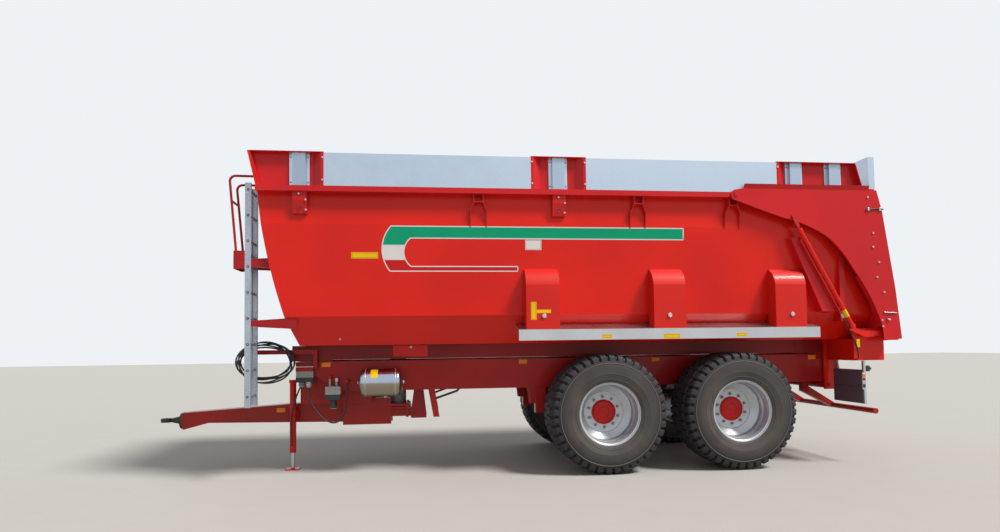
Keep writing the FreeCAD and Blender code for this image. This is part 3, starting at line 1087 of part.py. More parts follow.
def door_cylinders():
    """Barrel on the lock lever's pin, and a rod whose fork straddles the ear's edge. Both are made
    upright at the origin and then laid along the line between the two pins."""
    base = Vector(number("DoorBaseX"), 0, number("DoorBaseZ"))
    way = Vector(number("DoorEyeX"), 0, number("DoorEyeZ")) - base
    closed = way.Length
    lean = Rotation(Vector(0, 1, 0), math.degrees(math.atan2(way.x, way.z)))
    barrel_radius = number("DoorBarrelRadius")
    rod_radius = number("DoorRodRadius")
    gap = number("RunGap")
    fork_gap = number("EarPlate / 2 + ForkGap")
    fork_plate = number("ForkPlate")
    fork_depth = number("ForkDepth")
    pin = number("DoorPinBore")
    barrel = Part.makeCylinder(barrel_radius, closed - fork_depth - 85, Vector(0, 0, 30))
    barrel = barrel.fuse(Part.makeCylinder(34, 40, Vector(0, -20, 0), Vector(0, 1, 0)))
    # the oil pipe runs beside the barrel on its lower side, between two saddles
    pipe_radius = number("DoorPipeRadius")
    pipe_gap = number("DoorPipeGap")
    pipe_low, pipe_high = 205, closed - 280
    barrel = barrel.fuse(Part.makeCylinder(
        pipe_radius, pipe_high - pipe_low, Vector(-pipe_gap, 0, pipe_low)))
    barrel = barrel.fuse(Part.makeCylinder(
        pipe_radius, pipe_gap, Vector(-pipe_gap, 0, pipe_high - pipe_radius), Vector(1, 0, 0)))
    barrel = barrel.fuse(Part.makeCylinder(14, 32, Vector(-pipe_gap, 0, pipe_low - 16)))
    for height in (pipe_low + 40, (pipe_low + pipe_high) / 2):
        barrel = barrel.fuse(Part.makeBox(pipe_gap, 16, 22, Vector(-pipe_gap, -8, height)))
    for height in (closed - fork_depth - 85, closed - 400):
        barrel = barrel.fuse(Part.makeCylinder(barrel_radius + 6, 30, Vector(0, 0, height)))
    barrel = barrel.cut(Part.makeCylinder(rod_radius + gap, closed, Vector(0, 0, 60)))
    barrel = barrel.cut(Part.makeCylinder(pin + gap, 60, Vector(0, -30, 0), Vector(0, 1, 0)))
    stem = Part.makeCylinder(rod_radius, closed - fork_depth - 80, Vector(0, 0, 70))
    across = fork_gap + fork_plate
    yoke = Part.makeBox(40, 2 * across, 24, Vector(-20, -across, closed - fork_depth - 24))
    stem = stem.fuse(yoke)
    for side in (-1, 1):
        low = fork_gap if side > 0 else -across
        leg = Part.makeBox(40, fork_plate, fork_depth + 1, Vector(-20, low, closed - fork_depth - 1))
        end = Part.makeCylinder(20, fork_plate, Vector(0, low, closed), Vector(0, 1, 0))
        head_at = across - 1 if side > 0 else -across - 5
        head = Part.makeCylinder(15, 6, Vector(0, head_at, closed), Vector(0, 1, 0))
        stem = stem.fuse(leg).fuse(end).fuse(head)
    for side, name in ((1, "right"), (-1, "left")):
        where = FreeCAD.Placement(
            base + Vector(0, side * number("EarHalf + EarPlate / 2"), 0), lean)
        for kind, shape in (("barrel", barrel), ("rod", stem)):
            piece = doc.addObject("Part::Feature", f"door_cylinder_{kind}_{name}")
            piece.Shape = shape.removeSplitter()
            piece.Placement = where
            keep(piece, f"door_cylinder_{kind}_{name}")


def tip_cylinder():
    last = int(number("TipStages"))
    for index in range(last + 1):
        outer = f"TipBarrelRadius - {index} * TipStageStep"
        bottom = f"TipBarrelBottom + {index} * 8"
        top = f"TipBarrelTop + {index} * 6"
        if index == last:
            top += " + TipBallRadius"
        name = "tip_barrel" if index == 0 else f"tip_stage_{index}"
        tube_solid = rod(name + "_tube", "z", "TipBaseX", 0, bottom, outer, f"({top}) - ({bottom})")
        if index == last:
            ball = doc.addObject("Part::Sphere", "tip_ball")
            place(ball, "TipBaseX", 0, top)
            ball.setExpression("Radius", bound("TipBallRadius"))
            keep(fuse("tip_ram", [tube_solid, ball]), f"tip_cylinder_stage_{last}")
            continue
        bore = rod(name + "_bore", "z", "TipBaseX", 0, f"{bottom} + 7.7",
                   f"TipBarrelRadius - {index + 1} * TipStageStep + RunGap", f"({top}) - ({bottom})")
        if index == 0:
            trunnion = rod("trunnion", "y", "TipBaseX", "-TipBarrelRadius - 75", "TipTrunnionZ", 30,
                           "2 * TipBarrelRadius + 150")
            tube_solid = fuse("tip_barrel_body", [tube_solid, trunnion])
        label = "tip_cylinder_barrel" if index == 0 else f"tip_cylinder_stage_{index}"
        keep(cut(name, tube_solid, bore), label)


# ---------------------------------------------------------------- fittings
def dome(name, radius, length, height):
    """A closed vessel with domed ends, along X."""
    curve = f"({radius}^2 + {height}^2) / (2 * {height})"
    vessel = turned(name, [
        (0, f"-{length} / 2"), (radius, f"{height} - {length} / 2", curve),
        (radius, f"{length} / 2 - {height}"), (0, f"{length} / 2", curve),
    ])
    vessel.Placement.Rotation = Rotation(Vector(0, 0, 1), -90)
    return vessel


def air_tank():
    outer = "FrameSpacing / 2 + FrameRailWidth / 2"
    across = f"-({outer}) - 12 - TankRadius"
    pieces = [place(dome("tank_shell", "TankRadius", "TankLength", "TankDome"),
                    "TankX", across, "TankZ")]
    for index, offset in enumerate((-130, 90)):
        pieces.append(rod(f"tank_strap_{index}", "x", f"TankX + {offset}", across, "TankZ",
                          "TankRadius + 3", 40))
        pieces.append(box(f"tank_bracket_{index}", f"TankX + {offset}", f"-({outer}) - 60",
                          "TankZ - 70", 40, "60 - RunGap", 140))
    pieces.append(rod("tank_drain", "z", "TankX", across, "TankZ - TankRadius - 26", 14, 40))
    keep(fuse("air_tank", pieces), "air_tank")


def brake_valves():
    front_x = "FrameFrontX - 190"
    front = [
        box("coupling_block", front_x, -610, 1059, "190 - RunGap", 90, 167),
        rod("coupling_low_0", "z", f"{front_x} + 55", -565, 1004, 32, 60),
        rod("coupling_low_1", "z", f"{front_x} + 135", -565, 1004, 32, 60),
    ]
    side = "-FrameSpacing / 2 - FrameRailWidth / 2 - 100"
    rear = [
        box("valve_block", -2346, side, 849, 167, "100 - RunGap", 152),
        rod("valve_low", "z", -2262, f"{side} + 50", 748, 36, 102),
        rod("valve_port_0", "z", -2300, f"{side} + 50", 1000, 14, 117),
        rod("valve_port_1", "z", -2225, f"{side} + 50", 1000, 14, 90),
    ]
    keep(together("brake_valves", [fuse("coupling_valve", front), fuse("relay_valve", rear)]),
         "brake_valves")


def rear_fittings():
    tube_bar = rod("underrun_tube", "y", "UnderrunX", "-UnderrunHalf", "UnderrunZ",
                   "UnderrunRadius", "2 * UnderrunHalf")
    arms = [padded(f"underrun_arm_{side}", "XZ", 300 if side < 0 else -370, 70, [
        ("UnderrunX - 20", "UnderrunZ - 20"), ("FrameRearX - 300", "TipHingeZ - 90"),
        ("FrameRearX - 300", "FrameTop - FrameDepth + 60"),
        ("FrameRearX - 210", "FrameTop - FrameDepth + 60"), ("FrameRearX - 210", "TipHingeZ - 30"),
        ("UnderrunX + 25", "UnderrunZ + 25"),
    ]) for side in (-1, 1)]
    bridge = box("underrun_bridge", "FrameRearX - 320", "-(FrameSpacing / 2 - FrameRailWidth / 2)",
                 "FrameTop - FrameDepth + 40", 120, "FrameSpacing - FrameRailWidth", 60)
    keep(fuse("underrun_bar", [tube_bar, bridge] + arms), "underrun_bar")
    sill_bottom = "(FrameTop - SillDepth)"
    flap = [box("flap", "FlapX", "FlapInner", "FlapBottom", 8, "FlapWidth", "FlapHeight")]
    for index in range(6):
        flap.append(box(f"flap_ridge_{index}", "FlapX - 5",
                        f"FlapInner + FlapWidth * ({index} + 0.3) / 6.3", "FlapBottom + 20",
                        6, "FlapWidth / 9", "FlapHeight / 2 - 25"))
    keep(both_sides("mud_flaps", fuse("flap_right", flap)), "mud_flaps")
    # behind each flap a beam on a gusset and a post, with the lamp on the post
    outer = "(FlapInner + FlapWidth)"
    beam = "(FlapBottom + FlapHeight - 50)"
    lamp = [
        box("lamp_beam", "FlapX + 8", "FlapInner", beam, 20, "FlapWidth", 50),
        box("lamp_post", "FlapX + 8", f"{outer} - 12", "FlapBottom", 26, 30,
            f"{sill_bottom} - FlapBottom"),
        box("lamp_cheek", "FlapX - 10", f"{outer} + RunGap", f"{beam} - 180", 44, "18 - RunGap",
            200),
        box("lamp_box", "FlapX + 9", f"{outer} - 120", f"{beam} - 180", 32, 110, 110),
        padded("lamp_gusset", "YZ", "FlapX + 8", 20, [
            ("FlapInner", beam), ("FlapInner + 100", beam), ("FlapInner + 47", sill_bottom),
            ("FlapInner", sill_bottom),
        ]),
    ]
    keep(both_sides("tail_lamps", fuse("tail_lamp_right", lamp)), "tail_lamps")


# ---------------------------------------------------------------- hoses
def cord(label, points, radius):
    """A hose along straight runs and tangent arcs. Each arc takes the largest radius at which the
    shorter of its two runs keeps a tenth of its length."""
    vectors = [Vector(*(number(text) for text in point)) for point in points]
    edges, here, bends = [], vectors[0], []
    for before, corner, after in zip(vectors, vectors[1:], vectors[2:]):
        into, out = corner - before, after - corner
        reach = 0.45 * min(into.Length, out.Length)
        half_turn = into.getAngle(out) / 2
        bend = reach / math.tan(half_turn)
        into.normalize()
        out.normalize()
        start, stop = corner - into * reach, corner + out * reach
        middle_way = (out - into).normalize()
        middle = corner + middle_way * (bend / math.cos(half_turn) - bend)
        edges.append(Part.LineSegment(here, start).toShape())
        edges.append(Part.Arc(start, middle, stop).toShape())
        here = stop
        bends.append(round(bend))
    edges.append(Part.LineSegment(here, vectors[-1]).toShape())
    path = Part.Wire(edges)
    ring = Part.Wire(Part.Circle(vectors[0], vectors[1] - vectors[0], number(radius)).toShape())
    feature = doc.addObject("Part::Feature", label)
    feature.Shape = path.makePipeShell([ring], True, False)
    print(label, "bend radii", bends)
    return keep(feature, label)


def hoses():
    """The coiled couplings at the front as one ring, and the loose hoses as tubes."""
    rings = []
    for name, shrink, extra in (("outer", "0", 0), ("inner", "CoilBand", 2)):
        oval = doc.addObject("Part::Ellipse", f"coil_oval_{name}")
        oval.Placement.Rotation = Rotation(Vector(1, 0, 0), 90)
        place(oval, "CoilX", f"CoilY + CoilThickness / 2 + {extra} - RunGap", "CoilZ")
        oval.setExpression("MajorRadius", bound(f"CoilHalfLength - {shrink}"))
        oval.setExpression("MinorRadius", bound(f"CoilHalfHeight - {shrink}"))
        ring = doc.addObject("Part::Extrusion", f"coil_ring_{name}")
        ring.Base = oval
        ring.DirMode = "Custom"
        ring.Dir = Vector(0, -1, 0)
        ring.setExpression("LengthFwd", bound(f"CoilThickness + 2 * {extra}"))
        ring.Solid = True
        rings.append(ring)
    keep(cut("hose_coil", *rings), "hose_coil")
    cord("brake_hose", BRAKE_HOSE, "HoseRadius")
    cord("jack_hose", JACK_HOSE, "HoseRadius")
    base = Vector(number("DoorBaseX"), -number("EarHalf + EarPlate / 2"), number("DoorBaseZ"))
    way = Vector(number("DoorEyeX - DoorBaseX"), 0, number("DoorEyeZ - DoorBaseZ")).normalize()
    port = base + way * 188.7 - Vector(way.z, 0, -way.x) * number("DoorPipeGap")
    route = [tuple(port), tuple(port - way * 130)] + DOOR_HOSE
    print("tailgate hose", [[round(value, 1) for value in point] for point in route])
    cord("tailgate_hose_left", route, "HoseRadius")
    cord("tailgate_hose_right", [(x, -y, z) for x, y, z in route], "HoseRadius")


BRAKE_HOSE = [
    (-2545, -565, 1003.7), (-2545, -565, 900), (-2475, -610, 745), (-2345, -640, 610),
    (-2215, -640, 575), (-2125, -640, 690), (-2105, -640, 860), (-2105, -640, 1049.7),
]
JACK_HOSE = [
    (-2490.3, -300, 1130), (-2600, -300, 1130), (-2690, -302, 1000), (-2760, -303, 810),
    (-2806, -303, 600), (-2790, -303, 410), (-2790, -303, 285.3),
]
# behind the lower end of the oil pipe; the first two points come from the cylinder's line
DOOR_HOSE = [
    (3775, -1226, 1490), (3845, -1195, 1385), (3885, -1160, 1300), (3885, -1160, 1239.3),
]


def locks():
    lever_outline = [
        ("DoorBaseX - 30", "DoorBaseZ + 30"), ("DoorBaseX - 30", "DoorBaseZ - 30"),
        ("LockPivotX", "LockPivotZ - 50"), ("LockPivotX + 200", "LockPivotZ - 25"),
        ("LockPivotX + 205", "LockPivotZ + 25"), ("LockPivotX - 60", "LockPivotZ + 35"),
    ]
    plates = []
    for side in (-1, 1):
        start = "EarHalf + EarPlate / 2 - 60" if side < 0 else "-(EarHalf + EarPlate / 2 - 60) - 12"
        lever = padded(f"lock_lever_{side}", "XZ", start, 12, lever_outline)
        pivot = rod(f"lock_pivot_{side}", "y", "LockPivotX",
                    "-(EarHalf + EarPlate / 2 - 50)" if side < 0 else "BendHalf + 15", "LockPivotZ", 20,
                    "EarHalf + EarPlate / 2 - 50 - BendHalf - 15")
        pin = rod(f"barrel_pin_{side}", "y", "DoorBaseX",
                  "-(EarHalf + EarPlate / 2 + 26)" if side < 0 else "EarHalf + EarPlate / 2 - 60",
                  "DoorBaseZ", 15, 86)
        plates.append(fuse(f"lock_{side}", [lever, pivot, pin]))
    keep(together("door_locks", plates), "door_locks")


chassis_frame()
drawbar()
towing_eye()
jack()
axles()
wheels()
tub_shell()
top_rails()
sub_frame()
fenders()
extensions()
ladder()
rail_brackets()
side_ribs()
tailgate()
door_cylinders()
tip_cylinder()
air_tank()
brake_valves()
rear_fittings()
hoses()
locks()

doc.recompute()
for copy, source, side, centre in SETTERS:
    shape = source.Shape.copy()
    turn = Rotation(Vector(0, 0, 1), 180) if side < 0 else Rotation()
    copy.Shape = shape
    copy.Placement = FreeCAD.Placement(
        Vector(number(centre), side * number("TrackWidth / 2"), number("TyreDiameter / 2")), turn)
doc.recompute()

bad = [thing.Name for thing in doc.Objects if "Invalid" in thing.State or "Error" in thing.State]
if bad:
    raise RuntimeError(f"failed: {bad}")
os.makedirs("parts", exist_ok=True)
for thing in SUBPARTS:
    shape = thing.Shape
    if shape.isNull() or not shape.isValid() or not shape.Solids:
        raise RuntimeError(f"{thing.Label} has no valid solid")
    shape.exportStep(f"parts/{thing.Label}.step")
    print(thing.Label, len(shape.Solids), round(shape.Volume / 1e6, 2), "dm3")
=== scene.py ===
"""Looks of the tandem tipping trailer: paint, metal and rubber on its frame, the treaded tyres,
hub caps, bolts, stripes, reflectors and hoses. Metres, X to the rear, Y to the right, Z up."""
import math
from functools import partial

import bmesh
import bpy
import numpy as np
from mathutils import Matrix, Vector

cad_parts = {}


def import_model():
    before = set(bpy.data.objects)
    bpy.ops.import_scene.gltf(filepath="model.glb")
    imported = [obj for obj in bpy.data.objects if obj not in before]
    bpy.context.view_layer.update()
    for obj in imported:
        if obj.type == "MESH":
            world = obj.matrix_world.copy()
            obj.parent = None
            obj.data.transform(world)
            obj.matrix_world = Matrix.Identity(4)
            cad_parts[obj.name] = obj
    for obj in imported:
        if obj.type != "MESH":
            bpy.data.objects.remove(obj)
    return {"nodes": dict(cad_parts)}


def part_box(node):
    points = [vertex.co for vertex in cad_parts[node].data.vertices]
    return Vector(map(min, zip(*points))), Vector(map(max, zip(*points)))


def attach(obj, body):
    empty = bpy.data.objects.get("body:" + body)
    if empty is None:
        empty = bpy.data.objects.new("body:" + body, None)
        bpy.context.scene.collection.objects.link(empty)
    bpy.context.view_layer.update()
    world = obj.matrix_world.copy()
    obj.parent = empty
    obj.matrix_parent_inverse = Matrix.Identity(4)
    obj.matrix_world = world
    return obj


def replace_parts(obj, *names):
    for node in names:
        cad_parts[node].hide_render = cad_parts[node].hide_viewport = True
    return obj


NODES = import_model()["nodes"]
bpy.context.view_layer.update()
SIDES = (("left", -1), ("right", 1))


# ---- materials
def linear(code):
    """An sRGB hex colour as the linear colour that a shader takes."""
    parts = np.array([int(code[index:index + 2], 16) for index in (1, 3, 5)]) / 255
    low, high = parts / 12.92, ((parts + 0.055) / 1.055) ** 2.4
    return tuple(np.where(parts <= 0.04045, low, high)) + (1.0,)


def put(tree, node, sockets):
    """Fills a node's sockets: a socket is linked in, a hex code becomes a colour, and any other
    value is set."""
    for name, value in sockets.items():
        if isinstance(value, bpy.types.NodeSocket):
            tree.links.new(value, node.inputs[name])
        else:
            node.inputs[name].default_value = linear(value) if isinstance(value, str) else value


def add(tree, kind, sockets, output=0, **settings):
    """Adds a node with its sockets and its settings, and gives back one of its outputs."""
    made = tree.nodes.new("ShaderNode" + kind)
    for name, value in settings.items():
        setattr(made, name, value)
    put(tree, made, sockets)
    return made.outputs[output]


# a Mix node that mixes colours: socket 0 is its factor, sockets 6 and 7 are its two colours
COLOURS = {"output": 2, "data_type": "RGBA"}
TIMES = {"operation": "MULTIPLY"}


def finish(name, sockets):
    """A new material whose shader has these sockets, with a function that adds its nodes, one that
    fills its shader's sockets, and the Object coordinates."""
    made = bpy.data.materials.new(name)
    made.use_nodes = True
    node = partial(add, made.node_tree)
    fill = partial(put, made.node_tree, made.node_tree.nodes["Principled BSDF"])
    fill(sockets)
    return made, node, fill, node("TexCoord", {}, "Object")


def enamel(name, colour, deep, roughness=0.3, dust_top=0.0, dust_most=0.0):
    """Sprayed two-pack enamel over steel: an even colour with a clear gloss, a faint orange peel,
    slow waves where the sheet is pulled by its welds, and road dust on the lower parts."""
    made, node, fill, place = finish(name, {
        "Roughness": roughness, "IOR": 1.5, "Specular IOR Level": 0.22, "Coat Weight": 0.12,
        "Coat Roughness": 0.08})
    # patches about 1.2 m across, where the coat is a little deeper
    patch = node("TexNoise", {"Vector": place, "Scale": 0.85, "Detail": 2.0})
    tone = node("MapRange", {"Value": patch, "From Min": 0.35, "From Max": 0.65})
    paint = node("Mix", {0: tone, 6: colour, 7: deep}, **COLOURS)
    if dust_most:
        height = node("SeparateXYZ", {"Vector": place}, "Z")
        low = node("MapRange", {
            "Value": height, "From Min": dust_top, "From Max": 0.0, "To Max": dust_most})
        # dust clings in blotches of 30 to 60 mm
        blotch = node("TexNoise", {
            "Vector": place, "Scale": 22.0, "Detail": 6.0, "Roughness": 0.65})
        dust = node("Math", {0: low, 1: blotch}, **TIMES)
        paint = node("Mix", {0: dust, 6: paint, 7: "#8f7d66"}, **COLOURS)
        fill({"Roughness": node("MapRange", {
            "Value": dust, "To Min": roughness, "To Max": 0.85})})
    # waves 0.5 m long and orange peel 4 mm across
    wave = node("TexNoise", {"Vector": place, "Scale": 2.1, "Detail": 1.0})
    waved = node("Bump", {"Height": wave, "Strength": 0.35, "Distance": 0.02})
    peel = node("TexNoise", {"Vector": place, "Scale": 240.0, "Detail": 2.0})
    fill({"Base Color": paint, "Normal": node("Bump", {
        "Height": peel, "Strength": 0.05, "Distance": 0.001, "Normal": waved})})
    return made


def rolled_metal(name, light, dark, roughness, grain, stretch):
    """Mill-finish or brushed metal: fine lines along one way, and patches 0.3 m across in its
    shine."""
    made, node, fill, place = finish(name, {"Metallic": 1.0})
    along = node("Mapping", {"Vector": place, "Scale": stretch})
    lines = node("TexNoise", {"Vector": along, "Scale": grain, "Detail": 4.0})
    patch = node("TexNoise", {"Vector": place, "Scale": 3.0, "Detail": 3.0})
    half = node("Math", {0: lines, 1: 0.5}, **TIMES)
    mixed = node("Math", {0: patch, 1: 0.5, 2: half}, operation="MULTIPLY_ADD")
    span = {"Value": mixed, "From Min": 0.3, "From Max": 0.7}
    fill({
        "Base Color": node("Mix", {0: node("MapRange", span), 6: light, 7: dark}, **COLOURS),
        "Roughness": node("MapRange", {
            **span, "To Min": roughness - 0.08, "To Max": roughness + 0.08}),
        "Normal": node("Bump", {"Height": lines, "Strength": 0.12, "Distance": 0.001})})
    return made


def zinc_spangle(name, light, dark, cell=0.008):
    """Hot-dip galvanised steel: crystals a few millimetres wide, each with its own grey."""
    made, node, fill, place = finish(name, {"Metallic": 0.85})
    crystals = node("TexVoronoi", {"Vector": place, "Scale": 1 / cell}, "Color")
    grey = node("RGBToBW", {"Color": crystals})
    stain = node("TexNoise", {"Vector": place, "Scale": 9.0, "Detail": 5.0})
    both = node("Math", {0: grey, 1: stain}, **TIMES)
    tone = node("MapRange", {"Value": both, "From Min": 0.05, "From Max": 0.5})
    fill({"Base Color": node("Mix", {0: tone, 6: light, 7: dark}, **COLOURS),
          "Roughness": node("MapRange", {"Value": grey, "To Min": 0.34, "To Max": 0.55})})
    return made


def plain_finish(name, colour, other, roughness, grain, depth, more=None):
    """A plain plastic, rubber, film or paint: two close tones and a fine surface grain."""
    made, node, fill, place = finish(name, {"Roughness": roughness, **(more or {})})
    mottle = node("TexNoise", {"Vector": place, "Scale": grain, "Detail": 4.0})
    fill({"Base Color": node("Mix", {0: mottle, 6: colour, 7: other}, **COLOURS),
          "Normal": node("Bump", {"Height": mottle, "Strength": depth, "Distance": 0.001})})
    return made


def vinyl(name, colour, other, roughness=0.3):
    """Cut vinyl film or printed ink: an even colour with a low, soft shine."""
    return plain_finish(name, colour, other, roughness, 5.0, 0.01, {"Specular IOR Level": 0.2})


def tyre_rubber(name):
    """Weathered tyre rubber: charcoal with a brown bloom of dust on the flanks towards the rim, a
    lighter ring on the rib round the shoulder, and painted shade in the grooves, darker where they
    are cut deeper, which makes the tread's sides blacker. The pattern follows two values carried by
    the tyre's points: the distance from the axle and the depth of the groove."""
    made, node, fill, place = finish(name, {
        "Roughness": 0.66, "IOR": 1.5, "Specular IOR Level": 0.35})
    radius = node("Attribute", {}, "Fac", attribute_name="from_axle")
    groove = node("Attribute", {}, "Fac", attribute_name="groove")
    dust = node("TexNoise", {"Vector": place, "Scale": 4.0, "Detail": 5.0, "Roughness": 0.5})
    fine = node("TexNoise", {"Vector": place, "Scale": 180.0, "Detail": 3.0})
    colour = node("Mix", {0: fine, 6: "#29272b", 7: "#333134"}, **COLOURS)
    # the bloom is strongest at 0.44 m and fades out at 0.585 m
    bloom = node("MapRange", {
        "Value": radius, "From Min": 0.585, "From Max": 0.44, "To Max": 0.75})
    # a lighter ring, 6 mm wide, on the rib that runs round the shoulder
    rib = node("Math", {0: radius, 1: 0.5660, 2: 0.0030}, operation="COMPARE")
    for amount, tone in (
            (node("Math", {0: bloom, 1: dust}, **TIMES), "#675f58"),
            (node("Math", {0: rib, 1: 0.55}, **TIMES), "#8b8580"),
            # painted shade in the grooves: darker the deeper the groove
            (node("MapRange", {"Value": groove, "To Max": 0.8}), "#1a1719")):
        colour = node("Mix", {0: amount, 6: colour, 7: tone}, **COLOURS)
    fill({"Base Color": colour,
          "Normal": node("Bump", {"Height": fine, "Strength": 0.15, "Distance": 0.002})})
    return made


def rod_with_painted_end(name, level, side, light, dark, polish):
    """Bare steel on a rod or a leg, which turns to red enamel on the fork or the plate welded to
    one end: the change is at a height, and the side says which way from it the paint lies."""
    made, node, fill, place = finish(name, {})
    height = node("SeparateXYZ", {"Vector": place}, "Z")
    paint = node("Math", {0: height, 1: level}, operation=side)
    grain = node("TexNoise", {"Vector": place, "Scale": 90.0, "Detail": 3.0})
    steel = node("Mix", {0: grain, 6: light, 7: dark}, **COLOURS)
    red = node("Mix", {0: grain, 6: "#c4170f", 7: "#ad130e"}, **COLOURS)
    fill({"Base Color": node("Mix", {0: paint, 6: steel, 7: red}, **COLOURS),
          "Metallic": node("Math", {0: 1.0, 1: paint}, operation="SUBTRACT"),
          "Roughness": node("MapRange", {"Value": paint, "To Min": polish, "To Max": 0.32})})
    return made


def stainless_with_dust_and_reflection(name, level):
    """Drawn stainless steel of the air tank: bright, with fine rings left by the spinning of its
    heads; bluish above the widest height as a painted reflection of the sky, and brown-grey and
    rougher below it, partly road dust and partly a painted reflection of the ground."""
    made, node, fill, place = finish(name, {"Metallic": 1.0})
    height = node("SeparateXYZ", {"Vector": place}, "Z")
    # below the widest height: brown-grey, partly road dust and partly painted reflection of the
    # ground; above it the blue is painted reflection of the sky
    dust = node("MapRange", {
        "Value": height, "From Min": level + 0.012, "From Max": level - 0.012})
    # rings 2 mm apart
    squeezed = node("Mapping", {"Vector": place, "Scale": (500.0, 4.0, 4.0)})
    rings = node("TexNoise", {"Vector": squeezed, "Scale": 1.0, "Detail": 3.0})
    bright = node("Mix", {0: rings, 6: "#bcc5d4", 7: "#a4adbc"}, **COLOURS)
    dusty = node("Mix", {0: rings, 6: "#a39a88", 7: "#8f8778"}, **COLOURS)
    fill({"Base Color": node("Mix", {0: dust, 6: bright, 7: dusty}, **COLOURS),
          "Roughness": node("MapRange", {"Value": dust, "To Min": 0.18, "To Max": 0.34})})
    return made


# the enamel of each assembly: the sprayed body is bright and glossy; the chassis is deeper, as
# painted shade of the body over it, and dusty; the sub-frame under the body is dull, its darker red
# painted shade; pressed sheets lean to crimson as a painted reflection of the sky; and the cap and
# jack were painted apart in a warmer red
RED = enamel("red_body_enamel", "#da1d0e", "#cb180d")
# painted shade: the chassis red is made deeper for the body's shade over it, with real dust on its
# lower parts
RED_CHASSIS_SHADE_DUST = enamel("red_chassis_shade_and_dust", "#a9130f", "#90110e", 0.34, 1.1, 0.22)
# painted shade: the sub-frame's darker red stands for the shade under the body
RED_SUBFRAME_SHADE = enamel("red_subframe_painted_shade", "#8c1010", "#740d0d", 0.45, 1.5, 0.12)
# painted reflection: the crimson lean of the pressed sheets stands for the sky they reflect
RED_SKY_SHEEN = enamel("red_pressed_sheet_sky_sheen", "#c81b20", "#ba191d", 0.34)
RED_MATT = enamel("red_mount_enamel", "#cf1d12", "#c0190f", 0.55)
RED_DARK = enamel("red_handrail_enamel", "#a3141a", "#8f1217", 0.34)
RED_CAP = enamel("red_hub_enamel", "#d41409", "#bd110b", 0.28)
# aluminium: rolled boards with faint level lines and a blue tint that is a painted reflection of
# the sky, drawn uprights, chequer plate with soft glints
BOARD_SKY_TINT = rolled_metal("mill_aluminium_sky_tint", "#c9d5e2", "#b2c0cf", 0.36, 30.0, (1.0, 1.0, 12.0))
UPRIGHT = rolled_metal("drawn_aluminium", "#aebccd", "#9cabbd", 0.42, 30.0, (12.0, 12.0, 1.0))
FENDER = rolled_metal("checker_aluminium", "#d3d4d5", "#bfc1c4", 0.30, 40.0, (1.0, 6.0, 6.0))
# zinc: dipped parts show grey crystals 8 mm wide, plated bolts a fine even grey
PALE_ZINC = zinc_spangle("new_hot_dip_zinc", "#c3c7cc", "#aab0b7")
LADDER_ZINC = zinc_spangle("pale_blue_zinc", "#b9c2cd", "#9ba5b1")
BOLT = zinc_spangle("zinc_plated_bolt", "#c9cbcc", "#aeb1b3", 0.003)
DARK_BOLT = zinc_spangle("dull_plated_nut", "#9a9b9d", "#85878a", 0.003)
# bare steels: hard chrome mirrors the sky, the jack's leg is satin, ground stages shine in bands
# round the tube, and brushed stainless is soft and even
FORK_HEIGHT, FOOT_TOP = 0.17, 0.022
CHROME = rod_with_painted_end(
    "chromed_rod_and_fork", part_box("door_cylinder_rod_left")[1][2] - FORK_HEIGHT, "GREATER_THAN",
    "#e6e7e8", "#dcdde0", 0.14)
JACK_LEG = rod_with_painted_end(
    "zinc_leg_and_foot", FOOT_TOP, "LESS_THAN", "#c2c5c9", "#a9adb2", 0.36)
STAGE_STEEL = rolled_metal(
    "ground_cylinder_steel", "#c6c9cc", "#b3b6ba", 0.26, 60.0, (1.0, 1.0, 10.0))
STAINLESS = rolled_metal(
    "dull_stainless_steel", "#aeb3bb", "#979da6", 0.30, 60.0, (10.0, 1.0, 1.0))
# forged and sprung steel under black paint: rough, with rust-brown in the second tone
BLACK_STEEL = plain_finish("black_forged_steel", "#1b1b1c", "#2c2a29", 0.55, 90.0, 0.2)
SPRING_STEEL = plain_finish("black_spring_paint", "#202021", "#332e2b", 0.6, 40.0, 0.15)
# silver lacquer on the rims glints like metal; the barrel's grey paint doesn't
RIM_PAINT = plain_finish(
    "silver_rim_paint", "#c0c3c7", "#aeb1b7", 0.36, 26.0, 0.04, {"Metallic": 0.6})
RAM_GREY = plain_finish("grey_ram_paint", "#8d9092", "#7b7d7f", 0.45, 30.0, 0.04)
# cast aluminium of the valves: warm grey with the sand's grain
VALVE = plain_finish("cast_valve_grey", "#a3a49b", "#84857e", 0.5, 120.0, 0.25)
# moulded plastic and rubber: near black with a broad soft shine; the flap's is faded to brown
BLACK_PLASTIC = plain_finish("black_moulded_plastic", "#1d1e20", "#27282a", 0.5, 200.0, 0.1)
BLUE_PLASTIC = plain_finish("blue_anodised_coupling", "#1f4f86", "#1a4376", 0.4, 200.0, 0.08)
HOSE = plain_finish("black_hose_rubber", "#131315", "#1f1f21", 0.48, 150.0, 0.12)
FLAP = plain_finish("flap_rubber", "#59444f", "#634d58", 0.6, 35.0, 0.2)
RUBBER = tyre_rubber("tyre_rubber")
# vinyl films and label print: flat, even colour
GREEN_FILM = vinyl("green_vinyl_film", "#019a70", "#018e66")
WHITE_FILM = vinyl("white_vinyl_film", "#dcd6d5", "#d0cbcb", 0.32)
RED_FILM = vinyl("red_vinyl_film", "#c41d18", "#b61a17")
YELLOW_FILM = vinyl("yellow_vinyl_film", "#e8bd12", "#dcb00f", 0.35)
LABEL_LINE = vinyl("brown_label_ink", "#8a6a14", "#7c5f12", 0.4)
# moulded acrylic lenses: glossy, broken up by fine prisms
ORANGE_LENS = plain_finish(
    "orange_reflector", "#ee851c", "#dd7414", 0.2, 400.0, 0.3, {"Specular IOR Level": 0.3})
RED_LENS = plain_finish("red_lamp_lens", "#a80f12", "#960c10", 0.12, 400.0, 0.3)

